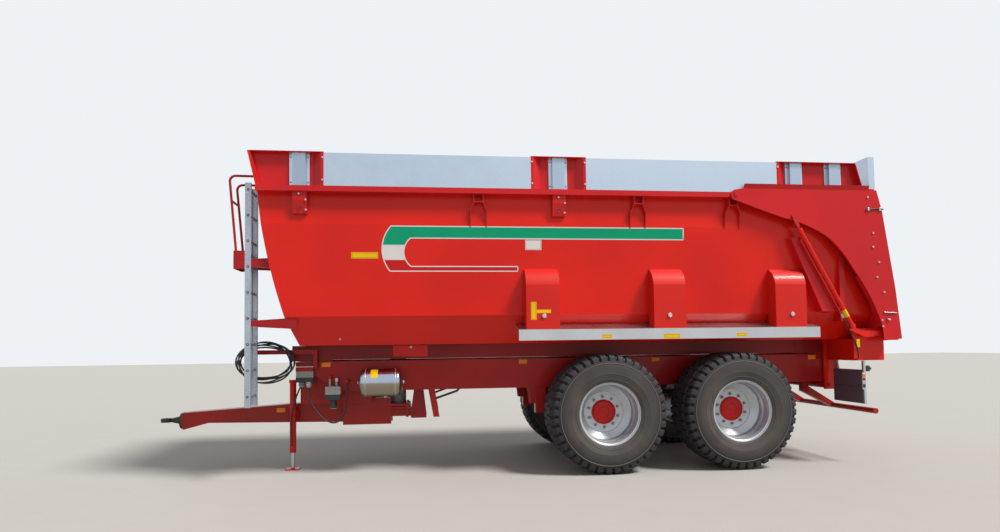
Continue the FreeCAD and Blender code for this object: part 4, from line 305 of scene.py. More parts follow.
# each node takes the first finish with a word that begins its name, and the rest are body red
LOOKS = (
    (RUBBER, "tyre"), (RIM_PAINT, "rim"), (CHROME, "door_cylinder_rod"),
    (STAGE_STEEL, "tip_cylinder_stage"), (RAM_GREY, "tip_cylinder"),
    (RED_CHASSIS_SHADE_DUST, "chassis_frame drawbar axle underrun_bar"), (RED_SUBFRAME_SHADE, "body_subframe"),
    (RED_CAP, "jack_tube"), (JACK_LEG, "jack_foot"), (RED_MATT, "fender_mounts"),
    (RED_SKY_SHEEN, "extension_trays rail_brackets top_rail tailgate_ear side_ribs"),
    (RED_DARK, "ladder_stays"), (LADDER_ZINC, "ladder"), (PALE_ZINC, "tail_lamps"),
    (BOARD_SKY_TINT, "extension_boards tailgate_board"), (FENDER, "fenders"),
    (BLACK_STEEL, "towing_eye"), (SPRING_STEEL, "suspension_springs"), (STAINLESS, "air_tank"),
    (VALVE, "brake_valves"), (FLAP, "mud_flaps"),
    (HOSE, "hose_coil brake_hose jack_hose tailgate_hose"))
for node, made in NODES.items():
    made.data.materials.clear()
    made.data.materials.append(next(
        (look for look, words in LOOKS if node.startswith(tuple(words.split()))), RED))


# ---- mesh helpers
OUTWARD = (0, 1.0, 0)
grid = partial(np.meshgrid, indexing="ij")


def quads(rows, columns, wrap_rows=False, wrap_columns=False):
    """Faces of a grid of points numbered row by row; a wrapped side joins its last to its first."""
    u, v = grid(np.arange(rows if wrap_rows else rows - 1),
                np.arange(columns if wrap_columns else columns - 1))
    u2, v2 = (u + 1) % rows, (v + 1) % columns
    corners = [u * columns + v, u2 * columns + v, u2 * columns + v2, u * columns + v2]
    return np.stack(corners, -1).reshape(-1, 4)


def placed(name, data):
    """A new object in the scene that shows this mesh, curve or lamp."""
    made = bpy.data.objects.new(name, data)
    bpy.context.collection.objects.link(made)
    return made


def piece(name, body, material, part, slot, smooth=True, sharp=None, values=None):
    """A mesh piece from a part, its points and faces, riding on a body. Values are numbers at its
    points that its finish reads; points in one place, as at a pole, are merged. Edges that turn
    more than the sharp angle, in degrees, stay crisp on a smooth piece."""
    points, faces = part
    mesh = bpy.data.meshes.new(name)
    mesh.from_pydata(np.asarray(points, float).reshape(-1, 3).tolist(), [], faces.tolist())
    for value_name, array in (values or {}).items():
        mesh.attributes.new(value_name, "FLOAT", "POINT").data.foreach_set(
            "value", np.asarray(array, float).ravel())
    whole = bmesh.new()
    whole.from_mesh(mesh)
    bmesh.ops.remove_doubles(whole, verts=whole.verts, dist=1e-6)
    whole.to_mesh(mesh)
    whole.free()
    mesh.polygons.foreach_set("use_smooth", np.full(len(mesh.polygons), smooth))
    if sharp:
        mesh.set_sharp_from_angle(angle=math.radians(sharp))
    mesh.materials.append(material)
    made = placed(name, mesh)
    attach(made, body)
    return made


def joined(parts):
    """Several parts as one."""
    points = [np.asarray(some_points, float).reshape(-1, 3) for some_points, _ in parts]
    starts = np.cumsum([0] + [len(some_points) for some_points in points[:-1]])
    return (np.concatenate(points),
            np.concatenate([faces + start for (_, faces), start in zip(parts, starts)]))


def mirrored(part, side):
    """A part made for the right side, carried to the side asked for, its faces turned with it."""
    points, faces = part
    return points * (1, side, 1), faces if side > 0 else faces[:, ::-1]


def both(part):
    """A part of the right side and its mirror image as one."""
    return joined([mirrored(part, -1), part])


def pair(name, body, material, part, *more, **settings):
    """The same piece on both sides, from the part of the right side. SIDE in its name and its
    body's stands for left or right."""
    for side_name, side in SIDES:
        piece(name.replace("SIDE", side_name), body.replace("SIDE", side_name), material,
              mirrored(part, side), *more, **settings)


def closed(points, faces):
    """A closed surface with its faces outwards: they are turned round where the enclosed volume,
    the sum of p0 . (p1 x p2) over its triangles, comes out negative."""
    points = np.asarray(points, float).reshape(-1, 3)
    a, b, c, d = (points[faces[:, corner]] for corner in range(4))
    volume = np.sum(a * np.cross(b, c)) + np.sum(a * np.cross(c, d))
    return points, faces if volume > 0 else faces[:, ::-1]


def spread(x, y, z):
    """Points with these coordinates, each spread over the shape of the others."""
    return np.stack(np.broadcast_arrays(x, y, z), -1)


def round_y(turn, radius, y):
    """Points round the Y axis: x = r cos t, z = r sin t."""
    return spread(radius * np.cos(turn), y, radius * np.sin(turn))


def spun(profile, steps, loop=False):
    """A profile of (radius, distance along Y) carried round the Y axis as a surface of revolution.
    A loop joins the profile's last point to its first."""
    profile = np.asarray(profile, float)
    points = round_y(np.arange(steps)[:, None] * math.tau / steps, *profile.T)
    return closed(points, quads(steps, len(profile), wrap_rows=True, wrap_columns=loop))


def capped(rings, first, last):
    """A closed surface over rings of points, drawn together in a point at each end."""
    rings = np.concatenate([first + 0 * rings[:1], rings, last + 0 * rings[-1:]])
    return closed(rings, quads(*rings.shape[:2], wrap_columns=True))


def turned(profile, at, axis, steps=28):
    """A turned part: a (radius, distance) profile from axis to axis, carried round a line through
    a point."""
    points, faces = spun(profile, steps)
    order = {"x": [1, 0, 2], "y": [0, 1, 2], "z": [0, 2, 1]}[axis]
    return closed(points[:, order] + np.asarray(at, float), faces)


def turned_about(profile, places, outward, steps, across=(0, 0, 1.0)):
    """The same turned part at many places: a (radius, distance) profile carried round the outward
    direction, starting from the side square to it and to the across direction."""
    places, profile = np.reshape(places, (-1, 3)), np.array(profile)
    out = np.array(outward) / np.linalg.norm(outward)
    side = np.cross(out, across)
    side /= np.linalg.norm(side)
    turn = np.arange(steps)[:, None, None] * math.tau / steps
    one = (profile[:, :1] * (np.cos(turn) * side + np.sin(turn) * np.cross(out, side))
           + profile[:, 1:] * out)
    faces = quads(steps, len(profile), wrap_rows=True)
    starts = np.arange(len(places))[:, None, None] * steps * len(profile)
    return (places[:, None, None] + one).reshape(-1, 3), (faces + starts).reshape(-1, 4)


def bolt_heads(places, radius, height, outward=OUTWARD, sides=6):
    """Bolt heads at many places at once: prisms with a chamfered top."""
    return turned_about([(radius, -0.1 * height), (radius, 0.8 * height), (0.86 * radius, height),
                         (0.001 * radius, height)], places, outward, sides)


def rod_along(first, second, reaches, radius, steps=12):
    """A straight rod on the line from one point towards another, at these distances along it."""
    first, second = np.asarray(first), np.asarray(second)
    along = (second - first) / np.linalg.norm(second - first)
    return bent_rod([first + along * reach for reach in reaches], radius, steps)


def block(low, high, radius=0.003, turns=3):
    """A block with rounded edges: each corner's centre moved out by the radius times the direction
    (cos f cos t, cos f sin t, sin f), and closed at both ends."""
    low, high = np.asarray(low, float), np.asarray(high, float)
    core = (high - low) / 2 - radius
    quarter = np.linspace(0, math.pi / 2, turns)
    t = np.concatenate([quarter + index * math.pi / 2 for index in range(4)])
    across = np.repeat([[1, 1], [-1, 1], [-1, -1], [1, -1]], turns, axis=0)
    f = np.concatenate([quarter - math.pi / 2, quarter])[:, None]
    rows = (low + high) / 2 + spread(
        across[:, 0] * core[0] + radius * np.cos(f) * np.cos(t),
        across[:, 1] * core[1] + radius * np.cos(f) * np.sin(t),
        np.repeat([-1, 1], turns)[:, None] * core[2] + radius * np.sin(f))
    first, last = np.array([low, high]) * (0, 0, 1) + (low + high) / 2 * (1, 1, 0)
    return capped(rows, first, last)


def bent_rod(route, radius, steps=12):
    """A round rod: at each point of its route a circle across the direction there, closed at both
    ends."""
    route = np.asarray(route, float)
    along = np.gradient(route, axis=0)
    along /= np.linalg.norm(along, axis=1)[:, None]
    side = np.cross(along, (0.31, 0.17, 0.94))
    side /= np.linalg.norm(side, axis=1)[:, None]
    up = np.cross(along, side)
    t = np.linspace(0, math.tau, steps, endpoint=False)[None, :, None]
    rings = route[:, None] + radius * (np.cos(t) * side[:, None] + np.sin(t) * up[:, None])
    return capped(rings, route[0], route[-1])


# ---- wheels
HALF_RIM = 0.262
BLOCKS = 40                 # tread blocks round each shoulder
TYRE_STEPS = 560
DEEPEST_GROOVE = 0.021
NUT_CIRCLE, SCREW_CIRCLE = 0.1735, 0.136


def tyre_profile():
    """Half section from the bead over the flank to the crown, mirrored: straight and rounded runs
    given as (radius, half width), then evenly spaced along its length. Fine ribs stand on the
    flank at 0.39, 0.45 and 0.567 m."""
    flank = [
        (0.3525, HALF_RIM - 0.0125), (0.3527, HALF_RIM), (0.3565, HALF_RIM + 0.0045),
        (0.372, HALF_RIM + 0.012), (0.384, HALF_RIM + 0.015), (0.3875, HALF_RIM + 0.0205),
        (0.392, HALF_RIM + 0.0225), (0.396, HALF_RIM + 0.0205), (0.420, 0.2905),
        (0.4465, 0.2964), (0.4485, 0.2985), (0.4515, 0.2987), (0.4535, 0.2973), (0.480, 0.2985),
        (0.520, 0.2968), (0.545, 0.2925), (0.5610, 0.2880), (0.5635, 0.2915), (0.5665, 0.2925),
        (0.5690, 0.2905), (0.5710, 0.2860), (0.580, 0.2835), (0.592, 0.2805)]
    crown = np.array([
        (0.592, 0.2805), (0.612, 0.2765), (0.630, 0.2715), (0.645, 0.2640), (0.656, 0.2500),
        (0.662, 0.2250), (0.6655, 0.180), (0.668, 0.120), (0.6695, 0.060), (0.670, 0.0)])
    run = np.concatenate([[0], np.cumsum(np.hypot(*np.diff(crown, axis=0).T))])
    even = np.linspace(0, run[-1], 46)[1:]
    crown = np.stack([np.interp(even, run, crown[:, 0]), np.interp(even, run, crown[:, 1])], 1)
    half = np.concatenate([flank, crown])
    return np.concatenate([half, (half * (1, -1))[-2::-1]])


def tread_depth(turn, across, radius):
    """How far the moulded tread is cut in: staggered shoulder blocks whose grooves lean and run
    down over the shoulder, two rows of centre blocks, and zigzag grooves between the rows."""
    width = np.abs(across)
    phase = turn / math.tau * BLOCKS
    row = phase + 0.25 * (1 + np.sign(across))
    lean = width / 0.30 * 0.35

    def groove(position, half_width, edge=0.045):
        """1 in a groove that repeats at every whole position, 0 between, with soft edges."""
        near = np.abs((position % 1.0) - 0.5)
        return np.clip((half_width - near) / edge + 0.5, 0, 1)

    def past(value, start, fade):
        """Rises from 0 at the start to 1 over the fade."""
        return np.clip((value - start) / fade, 0, 1)

    shoulder = groove(row + lean, 0.165) * past(width, 0.150, 0.006) * past(radius, 0.590, 0.012)
    sipe = groove(row + lean + 0.5, 0.030, 0.03) * past(width, 0.165, 0.006)
    sipe *= past(radius, 0.640, 0.01)
    middle = groove(row + 0.30 + 0.9 * width, 0.085) * past(width, 0.02, 0.005)
    middle *= past(-width, -0.150, 0.006)
    zigzag = 0.010 * np.abs(2 * ((phase % 1.0) - 0.5))
    outer_ring = np.clip((0.008 - np.abs(width - 0.146 - zigzag)) / 0.003 + 0.5, 0, 1)
    centre_ring = np.clip((0.006 - np.abs(across - 0.02 + 2 * zigzag)) / 0.003 + 0.5, 0, 1)
    cut = np.maximum.reduce([DEEPEST_GROOVE * shoulder, 0.006 * sipe, 0.012 * middle,
                             0.015 * outer_ring, 0.011 * centre_ring])
    return cut * past(radius, 0.588, 0.008)


def tyre():
    """A tyre as one closed surface, the section carried round the axle, r = r0 - depth(t, y), and
    the two values that its rubber reads."""
    profile = tyre_profile()
    turn = np.linspace(0, math.tau, TYRE_STEPS, endpoint=False)[:, None]
    radius, across = profile[:, 0][None, :], profile[:, 1][None, :]
    depth = tread_depth(turn, across + 0 * turn, radius + 0 * turn)
    over_edge = np.clip((np.abs(across) - 0.235) / 0.03, 0, 1)
    r = radius - depth * (1 - 0.55 * over_edge)
    y = across - np.sign(across) * depth * 0.95 * over_edge
    faces = quads(TYRE_STEPS, len(profile), wrap_rows=True, wrap_columns=True)
    values = {"from_axle": radius + 0 * turn, "groove": depth / DEEPEST_GROOVE}
    return round_y(turn, r, y), faces, values


# the pressed rim, one loop of (radius, distance): a rolled flange, the bead seat with its hump,
# the well, the dished disc with a raised ring for the nuts, and the brake drum behind
RIM = [
    (0.3519, 0.2500), (0.3519, 0.2600), (0.3505, 0.2617), (0.3465, 0.2619), (0.3435, 0.2602),
    (0.3420, 0.2545), (0.3385, 0.2480), (0.3325, 0.2445), (0.3268, 0.2425), (0.3250, 0.2370),
    (0.3250, 0.2060), (0.3218, 0.2010), (0.3218, 0.1860), (0.3246, 0.1810), (0.3246, 0.1320),
    (0.3215, 0.1250), (0.3130, 0.1150), (0.3105, 0.1080), (0.3105, 0.0500), (0.3130, 0.0440),
    (0.3085, 0.0380), (0.3040, 0.0330), (0.2440, -0.0030), (0.2380, -0.0075), (0.2345, -0.0095),
    (0.2320, -0.0120), (0.2310, -0.0180), (0.2280, -0.0198), (0.1500, -0.0200),
    (0.1300, -0.0205), (0.0454, -0.0230), (0.0454, -0.2170), (0.2030, -0.2180),
    (0.2049, -0.2160), (0.2049, -0.0400), (0.2400, -0.0430), (0.2960, -0.0430),
    (0.3200, -0.0600), (0.3240, -0.2460), (0.3420, -0.2540), (0.3440, -0.2618),
    (0.3505, -0.2619), (0.3519, -0.2600), (0.3519, -0.2505), (0.3340, -0.2425),
    (0.3340, 0.2425)]
# the hub cap: a shallow dish with a raised boss
CAP = [
    (0.0, -0.0222), (0.1415, -0.0222), (0.1425, -0.0150), (0.1410, -0.0125), (0.1300, -0.0115),
    (0.1275, -0.0100), (0.1250, -0.0040), (0.1220, -0.0015), (0.1150, -0.0005),
    (0.0640, -0.0040), (0.0610, -0.0030), (0.0590, 0.0010), (0.0560, 0.0020), (0.0, 0.0020)]


def on_circle(count, start, radius, y):
    """Places evenly round the axle."""
    return round_y(np.arange(count) * math.tau / count + start, radius, y)


nuts = bolt_heads(on_circle(10, 0.36, NUT_CIRCLE, -0.0200), 0.0170, 0.020)
studs = bolt_heads(on_circle(10, 0.36, NUT_CIRCLE, 0.0), 0.0100, 0.012, sides=12)
screws = bolt_heads(on_circle(8, 0.2, SCREW_CIRCLE, -0.0120), 0.0055, 0.004)
WHEEL_PARTS = (
    ("rim_{}_pressed", RIM_PAINT, spun(RIM, 120, loop=True), "rim_silver", True, 40),
    ("hub_cap_{}", RED_CAP, spun(CAP, 96), "red_paint", True, 50),
    ("hub_nuts_{}", DARK_BOLT, joined([nuts, studs]), "rim_silver", False, None),
    ("hub_screws_{}", RED_CAP, screws, "red_paint", False, None))
tyre_points, tyre_faces, tyre_values = tyre()
for name, side in ((f"{axle}_{side_name}", side) for axle in ("front", "rear")
                   for side_name, side in SIDES):
    centre = np.mean(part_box(f"tyre_{name}"), axis=0)
    tread = piece(f"tyre_tread_{name}", f"wheel_{name}", RUBBER,
                  (tyre_points + centre, tyre_faces), "tyre", sharp=32, values=tyre_values)
    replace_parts(tread, f"tyre_{name}")
    for title, material, part, slot, smooth, sharp in WHEEL_PARTS:
        points, faces = mirrored(part, side)
        made = piece(title.format(name), f"wheel_{name}", material, (points + centre, faces), slot,
                     smooth, sharp)
        if title.startswith("rim"):
            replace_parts(made, f"rim_{name}")


# ---- film, labels and reflectors
FILM_LIFT, EDGE_LIFT = 0.0007, 0.0012


def wall_at(z):
    """Half width of the side wall at a height: straight between its folds."""
    return np.interp(z, [1.475, 1.79, 2.79, 3.13], [0.800, 1.075, 1.135, 1.115])


def film(flat, faces, lift, y=None):
    """A film on the right wall, or on a plane at y: its points are (x, z), and it is lifted off by
    a hair."""
    x, z = np.asarray(flat, float).reshape(-1, 2).T
    across = wall_at(z) if y is None else y
    return spread(x, across + np.ravel(lift), z), faces[:, ::-1]


def ribbon(line, width):
    """A band of even width along a line in the wall's plane: the line moved half the width to
    each side along its normal."""
    line = np.asarray(line, float)
    along = np.gradient(line, axis=0)
    along /= np.linalg.norm(along, axis=1)[:, None]
    normal = np.stack([-along[:, 1], along[:, 0]], 1)
    return np.stack([line + normal * width / 2, line - normal * width / 2], 1)


def arc_through(first, middle, last, count):
    """Points of the circle through three points, from the first to the last."""
    a, b, c = (complex(*point) for point in (first, middle, last))
    w = (c - a) / (b - a)
    centre = (b - a) * (w - abs(w) ** 2) / (2j * w.imag) + a
    start, stop = (math.atan2((end - centre).imag, (end - centre).real) for end in (a, c))
    start += math.tau * (start < 0)
    stop += math.tau * (stop < start)
    turn = np.linspace(start, stop, count)
    radius = abs(a - centre)
    return np.stack([centre.real + radius * np.cos(turn), centre.imag + radius * np.sin(turn)], 1)


def arc_in_parts(arc, cuts, each=16):
    """An arc that falls from end to end, with as many points above, between and below two level
    cuts."""
    levels = [arc[0, 1], *cuts, arc[-1, 1]]
    height = np.concatenate([np.linspace(high, low, each, endpoint=False)
                             for high, low in zip(levels, levels[1:])] + [[levels[-1]]])
    return np.stack([np.interp(-height, -arc[:, 1], arc[:, 0]), height], 1)


def stripes():
    """The stripe in three colours: a long green band and a short red one, joined at the front by a
    rounded end that carries the white block, all with a thin white edge."""
    rear, foot_end = 1.777, -0.160
    band_top, band_foot, red_foot, red_top = 2.775, 2.645, 2.281, 2.333
    cuts = (2.565, 2.408)
    outer, inner = (arc_in_parts(arc_through(*three, 97), cuts) for three in (
        ((-1.562, band_top), (-1.660, 2.542), (-1.575, red_foot)),
        ((-1.350, band_foot), (-1.424, 2.500), (-1.347, red_top))))
    band = np.stack([outer, inner], 1)
    green_end, white_end = (len(outer) - 1) // 3, (len(outer) - 1) * 2 // 3
    top = np.stack([np.linspace([rear, band_top], outer[0], 30),
                    np.linspace([rear, band_foot], inner[0], 30)], 1)
    foot = np.stack([np.linspace(outer[-1], [foot_end, red_foot], 12),
                     np.linspace(inner[-1], [foot_end, red_top], 12)], 1)
    for colour, vinyl_film, strip in (
            ("green", GREEN_FILM, np.concatenate([top[:-1], band[:green_end + 1]])),
            ("white", WHITE_FILM, band[green_end:white_end + 1]),
            ("red", RED_FILM, np.concatenate([band[white_end:], foot[1:]]))):
        pair(f"stripe_{colour}_SIDE", "tub", vinyl_film,
             film(strip, quads(len(strip), 2), FILM_LIFT), "red_paint", False)
    outline = np.concatenate([
        top[:-1, 0], outer, foot[1:, 0],
        np.linspace([foot_end, red_foot], [foot_end, red_top], 4)[1:], foot[-2::-1, 1],
        inner[::-1][1:], top[-2::-1, 1],
        np.linspace([rear, band_foot], [rear, band_top], 4)[1:]])
    edges = [ribbon(outline, 0.012)] + [
        ribbon(np.linspace(outer[end], inner[end], 6), 0.009) for end in (green_end, white_end)]
    pair("stripe_edge_SIDE", "tub", WHITE_FILM,
         joined([film(edge, quads(len(edge), 2), EDGE_LIFT) for edge in edges]), "red_paint",
         False)


def label(title, x0, x1, z0, z1, y, slot="red_paint", vinyl_film=YELLOW_FILM):
    """A blank label on both sides: a thin plate with its edge turned down, and on a large one a
    printed line inside its edge."""
    x, z = grid([x0, x0 + 0.001, x1 - 0.001, x1], [z0, z0 + 0.001, z1 - 0.001, z1])
    edge = (x == x0) | (x == x1) | (z == z0) | (z == z1)
    plate = film(np.stack([x, z], -1), quads(4, 4), np.where(edge, -0.0005, 0.0009), y)
    pair(f"label_{title}_SIDE", "tub", vinyl_film, plate, slot, False)
    if min(x1 - x0, z1 - z0) > 0.04:
        inset, width = 0.007, 0.0035
        inward = np.array([(1, 1), (-1, 1), (-1, -1), (1, -1)])
        line = np.array([(x0, z0), (x1, z0), (x1, z1), (x0, z1)]) + inset * inward
        ring = film([line, line + width * inward], quads(2, 4, wrap_columns=True), 0.0010, y)
        pair(f"label_{title}_SIDE_line", "tub", LABEL_LINE, ring, slot, False)


def reflector(name, body, lens, x0, x1, z0, z1, y, slot, thick=0.012):
    """A moulded reflector on both sides: a pillow whose height is the product of two flat-topped
    curves, (1 - u^8)^0.5."""
    u = np.linspace(-1, 1, 13)
    crown = (1 - u ** 8) ** 0.5
    flat = np.stack(grid(x0 + (u + 1) * (x1 - x0) / 2, z0 + (u + 1) * (z1 - z0) / 2), -1)
    pillow = film(flat, quads(len(u), len(u)), thick * crown[:, None] * crown, y)
    pair(name, body, lens, pillow, slot)


MOUNT_FACE, FENDER_EDGE, BEAM_FACE, DRAWBAR_FACE = 1.250, 1.2692, 0.550, 0.0995
stripes()
label("white", -0.074, 0.111, 2.519, 2.634, None, vinyl_film=WHITE_FILM)
label("yellow", -1.993, -1.704, 2.418, 2.487, None)
label("mount_tall", -0.041, 0.022, 1.727, 1.924, MOUNT_FACE)
label("mount_wide", 0.0225, 0.184, 1.801, 1.838, MOUNT_FACE)
label("fender_0", 0.750, 0.863, 1.512, 1.560, FENDER_EDGE, "aluminium")
label("fender_1", 1.463, 1.650, 1.503, 1.560, FENDER_EDGE, "aluminium")
label("fender_2", 2.320, 2.440, 1.516, 1.562, FENDER_EDGE, "aluminium")
label("sill", 3.845, 3.885, 1.375, 1.470, 1.1905)
MARKERS = ((-2.409, -2.300), (-0.080, 0.025), (1.576, 1.681), (3.640, 3.745))
for index, ends in enumerate(MARKERS):
    reflector(
        f"marker_{index}_SIDE", "chassis", ORANGE_LENS, *ends, 1.225, 1.282, BEAM_FACE, "red_paint")
reflector("marker_drawbar_SIDE", "chassis", ORANGE_LENS, -3.014, -2.905, 0.668, 0.724,
          DRAWBAR_FACE, "red_paint")
pair("mount_bolts_SIDE", "tub", BOLT,
     bolt_heads([(x, MOUNT_FACE, 1.770) for x in (0.107, 1.545, 3.015)], 0.024, 0.016,
                sides=24), "red_paint", False)
pair("ear_bolts_SIDE", "tailgate", BOLT, bolt_heads([(x, 1.239, z) for x, z in (
    (4.015, 3.147), (4.068, 2.721), (4.060, 2.556), (4.130, 2.374), (4.098, 2.198),
    (4.182, 2.022), (4.141, 1.690), (4.150, 1.617))], 0.0125, 0.011), "red_paint", False)


# ---- fittings of the sides
UPRIGHTS = (-2.641, 0.203, 3.050, 3.544)
TRAY_ENDS = (-2.2835, 0.0035, 0.6065, 2.9175)
SOCKETS = (-2.600, 0.234)
RUNGS = 3.175 - 0.28 * np.arange(9)
LADDER_X, LADDER_FACE = -3.091, -1.062
pair("upright_faces_SIDE", "tub", UPRIGHT, joined([
    block((x + 0.037, 1.1765, 3.199), (x + 0.175, 1.1790, 3.556), 0.001)
    for x in UPRIGHTS]), "aluminium", False)
pair("upright_bolts_SIDE", "tub", DARK_BOLT, bolt_heads(
    [(x + dx, 1.1383, z) for x in UPRIGHTS for dx in (0.014, 0.198) for z in (3.240, 3.515)],
    0.0095, 0.008), "aluminium", False)
pair("tray_bolts_SIDE", "tub", BOLT, bolt_heads(
    [(x, 1.205, z) for x in TRAY_ENDS for z in (3.255, 3.500)]
    + [(x + dx, y, z) for x in SOCKETS for dx, y, z in (
        (0.068, 1.195, 3.105), (0.138, 1.194, 3.040), (0.138, 1.1735, 2.935))],
    0.0115, 0.009), "red_paint", False)
# painted shade: each socket's hole is drawn as a black disc with a rim, its black standing for the
# shade inside the hole
SOCKET_HOLE_SHADE = [(0, 0), (0.014, 0), (0.014, 0.0035), (0.009, 0.0012), (0, 0.0012)]
pair("socket_holes_SIDE", "tub", BLACK_PLASTIC, joined([
    turned(SOCKET_HOLE_SHADE, (x + 0.075, 1.1781, 2.960), "y", 20) for x in SOCKETS]), "rubber", False)
RUNG_END = [(0, 0.001), (0.0140, 0.001), (0.0140, -0.0025), (0.0115, -0.0035),
            (0.0100, -0.0012), (0, -0.0012)]
piece("rung_ends", "tub", BLACK_PLASTIC, joined([
    turned(RUNG_END, (LADDER_X, LADDER_FACE, z), "y", 20) for z in RUNGS]), "galvanised",
    False)
piece("rung_rivets", "tub", BOLT, bolt_heads(
    [(LADDER_X, LADDER_FACE - 0.001, z) for z in RUNGS], 0.0055, 0.003, (0, -1, 0), sides=10),
    "galvanised", False)


# ---- air tank and valves
TANK = (-1.708, -0.722, 1.045)
TANK_Y, TANK_Z = TANK[1:]
TANK_RADIUS = 0.160


def round_tank(turn, x, radius):
    """Points round the tank's axis: y = y0 + r cos t, z = z0 + r sin t."""
    return spread(x, TANK_Y + radius * np.cos(turn), TANK_Z + radius * np.sin(turn))


def weld_bead(x):
    """A weld bead round the tank: a ring x = x0 + r cos b, with radius R + r sin b from its axis,
    a little wavy along its length."""
    a, b = grid(np.arange(96) * math.tau / 96, np.arange(8) * math.tau / 8)
    small = 0.0045 + 0.0006 * np.sin(a * 24)
    bead = round_tank(a, x + small * np.cos(b), TANK_RADIUS + 0.8 * small * np.sin(b))
    return closed(bead, quads(96, 8, wrap_rows=True, wrap_columns=True))


def tank_label():
    """A blank label bent round the tank: angle and length on a grid, its edge turned down."""
    turn, x = grid(np.radians(np.linspace(110, 160, 13)), np.linspace(-1.820, -1.731, 7))
    radius = np.full_like(turn, TANK_RADIUS + 0.0011)
    radius[[0, -1]] = radius[:, [0, -1]] = TANK_RADIUS - 0.0005
    return round_tank(turn, x, radius), quads(13, 7)


def tank_shell():
    """The tank: a straight barrel between two heads with full shoulders, whose height over the
    radius is h (1 - (r / R)^2.6)^(1 / 2.2)."""
    head_height, half = 0.070, 0.252
    radius = TANK_RADIUS * np.sin(np.linspace(0, math.pi / 2, 24))
    head = half - head_height + head_height * (1 - (radius / TANK_RADIUS) ** 2.6) ** (1 / 2.2)
    rear = np.stack([radius, head], 1)
    return turned(np.concatenate([rear * (1, -1), rear[::-1]]), TANK, "x", 96)


def tank_strap(x, width=0.032):
    """A flat strap round the tank, its edges turned down."""
    under, over = TANK_RADIUS - 0.004, TANK_RADIUS + 0.0022
    return turned([
        (under, -width / 2), (over, -width / 2), (over + 0.0006, 0), (over, width / 2),
        (under, width / 2)], (x, TANK_Y, TANK_Z), "x", 96)


TANK_STEEL = stainless_with_dust_and_reflection("spun_stainless_dust_and_reflection", TANK_Z)
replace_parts(piece("air_tank_shell", "chassis", TANK_STEEL, tank_shell(), "stainless"), "air_tank")
piece("tank_straps", "chassis", TANK_STEEL, joined([tank_strap(-1.838), tank_strap(-1.578)]),
      "stainless", sharp=30)
piece("tank_welds", "chassis", BOLT, joined([weld_bead(-1.876), weld_bead(-1.540)]), "stainless")
piece("tank_brackets", "chassis", RED_CHASSIS_SHADE_DUST, joined([
    block((x, -0.612, 0.975), (x + 0.040, -0.5503, 1.115)) for x in (-1.838, -1.618)]),
    "red_paint", False)
piece("tank_label", "chassis", YELLOW_FILM, tank_label(), "stainless")
PLUG = [(0, -0.002), (0.019, -0.002), (0.019, 0.006), (0.015, 0.009), (0.015, 0.014), (0, 0.014)]
PLUG_BACK = [(r, -y) for r, y in PLUG]
piece("tank_plugs", "chassis", WHITE_FILM, joined([
    turned(PLUG_BACK, (-1.9585, TANK_Y, TANK_Z), "x"),
    turned(PLUG, (-1.4575, TANK_Y, TANK_Z), "x"),
    turned(PLUG_BACK, (-1.660, TANK_Y, TANK_Z - 0.1595), "z")]), "stainless", sharp=30)

# front valve: a red plate over a grey body on a black foot; rear valve: a grey cube on a black one
piece("valve_plates", "chassis", RED_CHASSIS_SHADE_DUST,
      block((-2.684, -0.614, 1.180), (-2.4895, -0.521, 1.2295)), "red_paint", False)
FOOT = [(0, 0), (0.030, 0), (0.0375, -0.006), (0.0375, -0.095), (0.030, -0.104), (0, -0.104)]
piece("valve_feet", "chassis", BLACK_PLASTIC, joined([
    turned(FOOT, (-2.262, -0.600, 0.850), "z"),
    block((-2.683, -0.613, 1.056), (-2.4895, -0.521, 1.112), 0.006),
    block((-2.349, -0.653, 0.846), (-2.176, -0.5515, 0.912), 0.006)]), "rubber", False)
piece("valve_ribs", "chassis", VALVE, joined([
    block((x, y, low), (x + 0.012, y + 0.0105, high))
    for start, pitch, count, y, low, high in (
        (-2.674, 0.031, 6, -0.6165, 1.118, 1.174), (-2.338, 0.034, 5, -0.6565, 0.920, 0.992))
    for x in start + pitch * np.arange(count)]), "valve_grey", False)
CUP = [(0, -0.004), (0.0175, -0.004), (0.0185, 0.002), (0.0185, 0.030), (0.0150, 0.036),
       (0, 0.038)]
SLEEVE = [(0, 0.004), (0.0345, 0.004), (0.0345, -0.012), (0.0300, -0.014), (0.0300, -0.022),
          (0.0345, -0.024), (0.0345, -0.036), (0.0220, -0.044), (0.0220, -0.060), (0, -0.060)]
for name, material, profile, at, slot in (
        ("valve_knob_red", RED_CAP, CUP, (-2.300, -0.600, 1.090), "red_paint"),
        ("valve_cap_white", WHITE_FILM, CUP, (-2.225, -0.600, 1.062), "valve_grey"),
        ("coupling_blue", BLUE_PLASTIC, SLEEVE, (-2.625, -0.565, 1.056), "rubber"),
        ("coupling_silver", BOLT, SLEEVE, (-2.545, -0.565, 1.056), "valve_grey")):
    piece(name, "chassis", material, turned(profile, at, "z"), slot, sharp=40)


# ---- under the frame
def leaning_plate(low, high, lean):
    """A plate whose foot lies further back than its top: x + lean (top - z)."""
    points, faces = block(low, high)
    points[:, 0] += lean * (high[2] - points[:, 2])
    return points, faces


# the sub-frame's front ends, which reach past the chassis under the trough
piece("subframe_nose", "tub", RED_SUBFRAME_SHADE, joined([
    both(block((-2.735, 0.419, 1.2935), (-2.290, 0.551, 1.4745))),
    block((-2.733, -0.45, 1.300), (-2.690, 0.45, 1.470))]), "red_paint", False)
piece("subframe_patches", "tub", RED,
      both(block((-1.582, 0.550, 1.335), (-1.175, 0.556, 1.468), 0.0015)), "red_paint",
      False)
piece("subframe_bolts", "tub", BOLT, both(joined([
    bolt_heads([(-1.370, 0.556, 1.445)], 0.017, 0.012),
    bolt_heads([(-2.148, wall_at(1.549) - 0.001, 1.549)], 0.014, 0.011, (0, 0.75, -0.66))])),
    "galvanised", False)
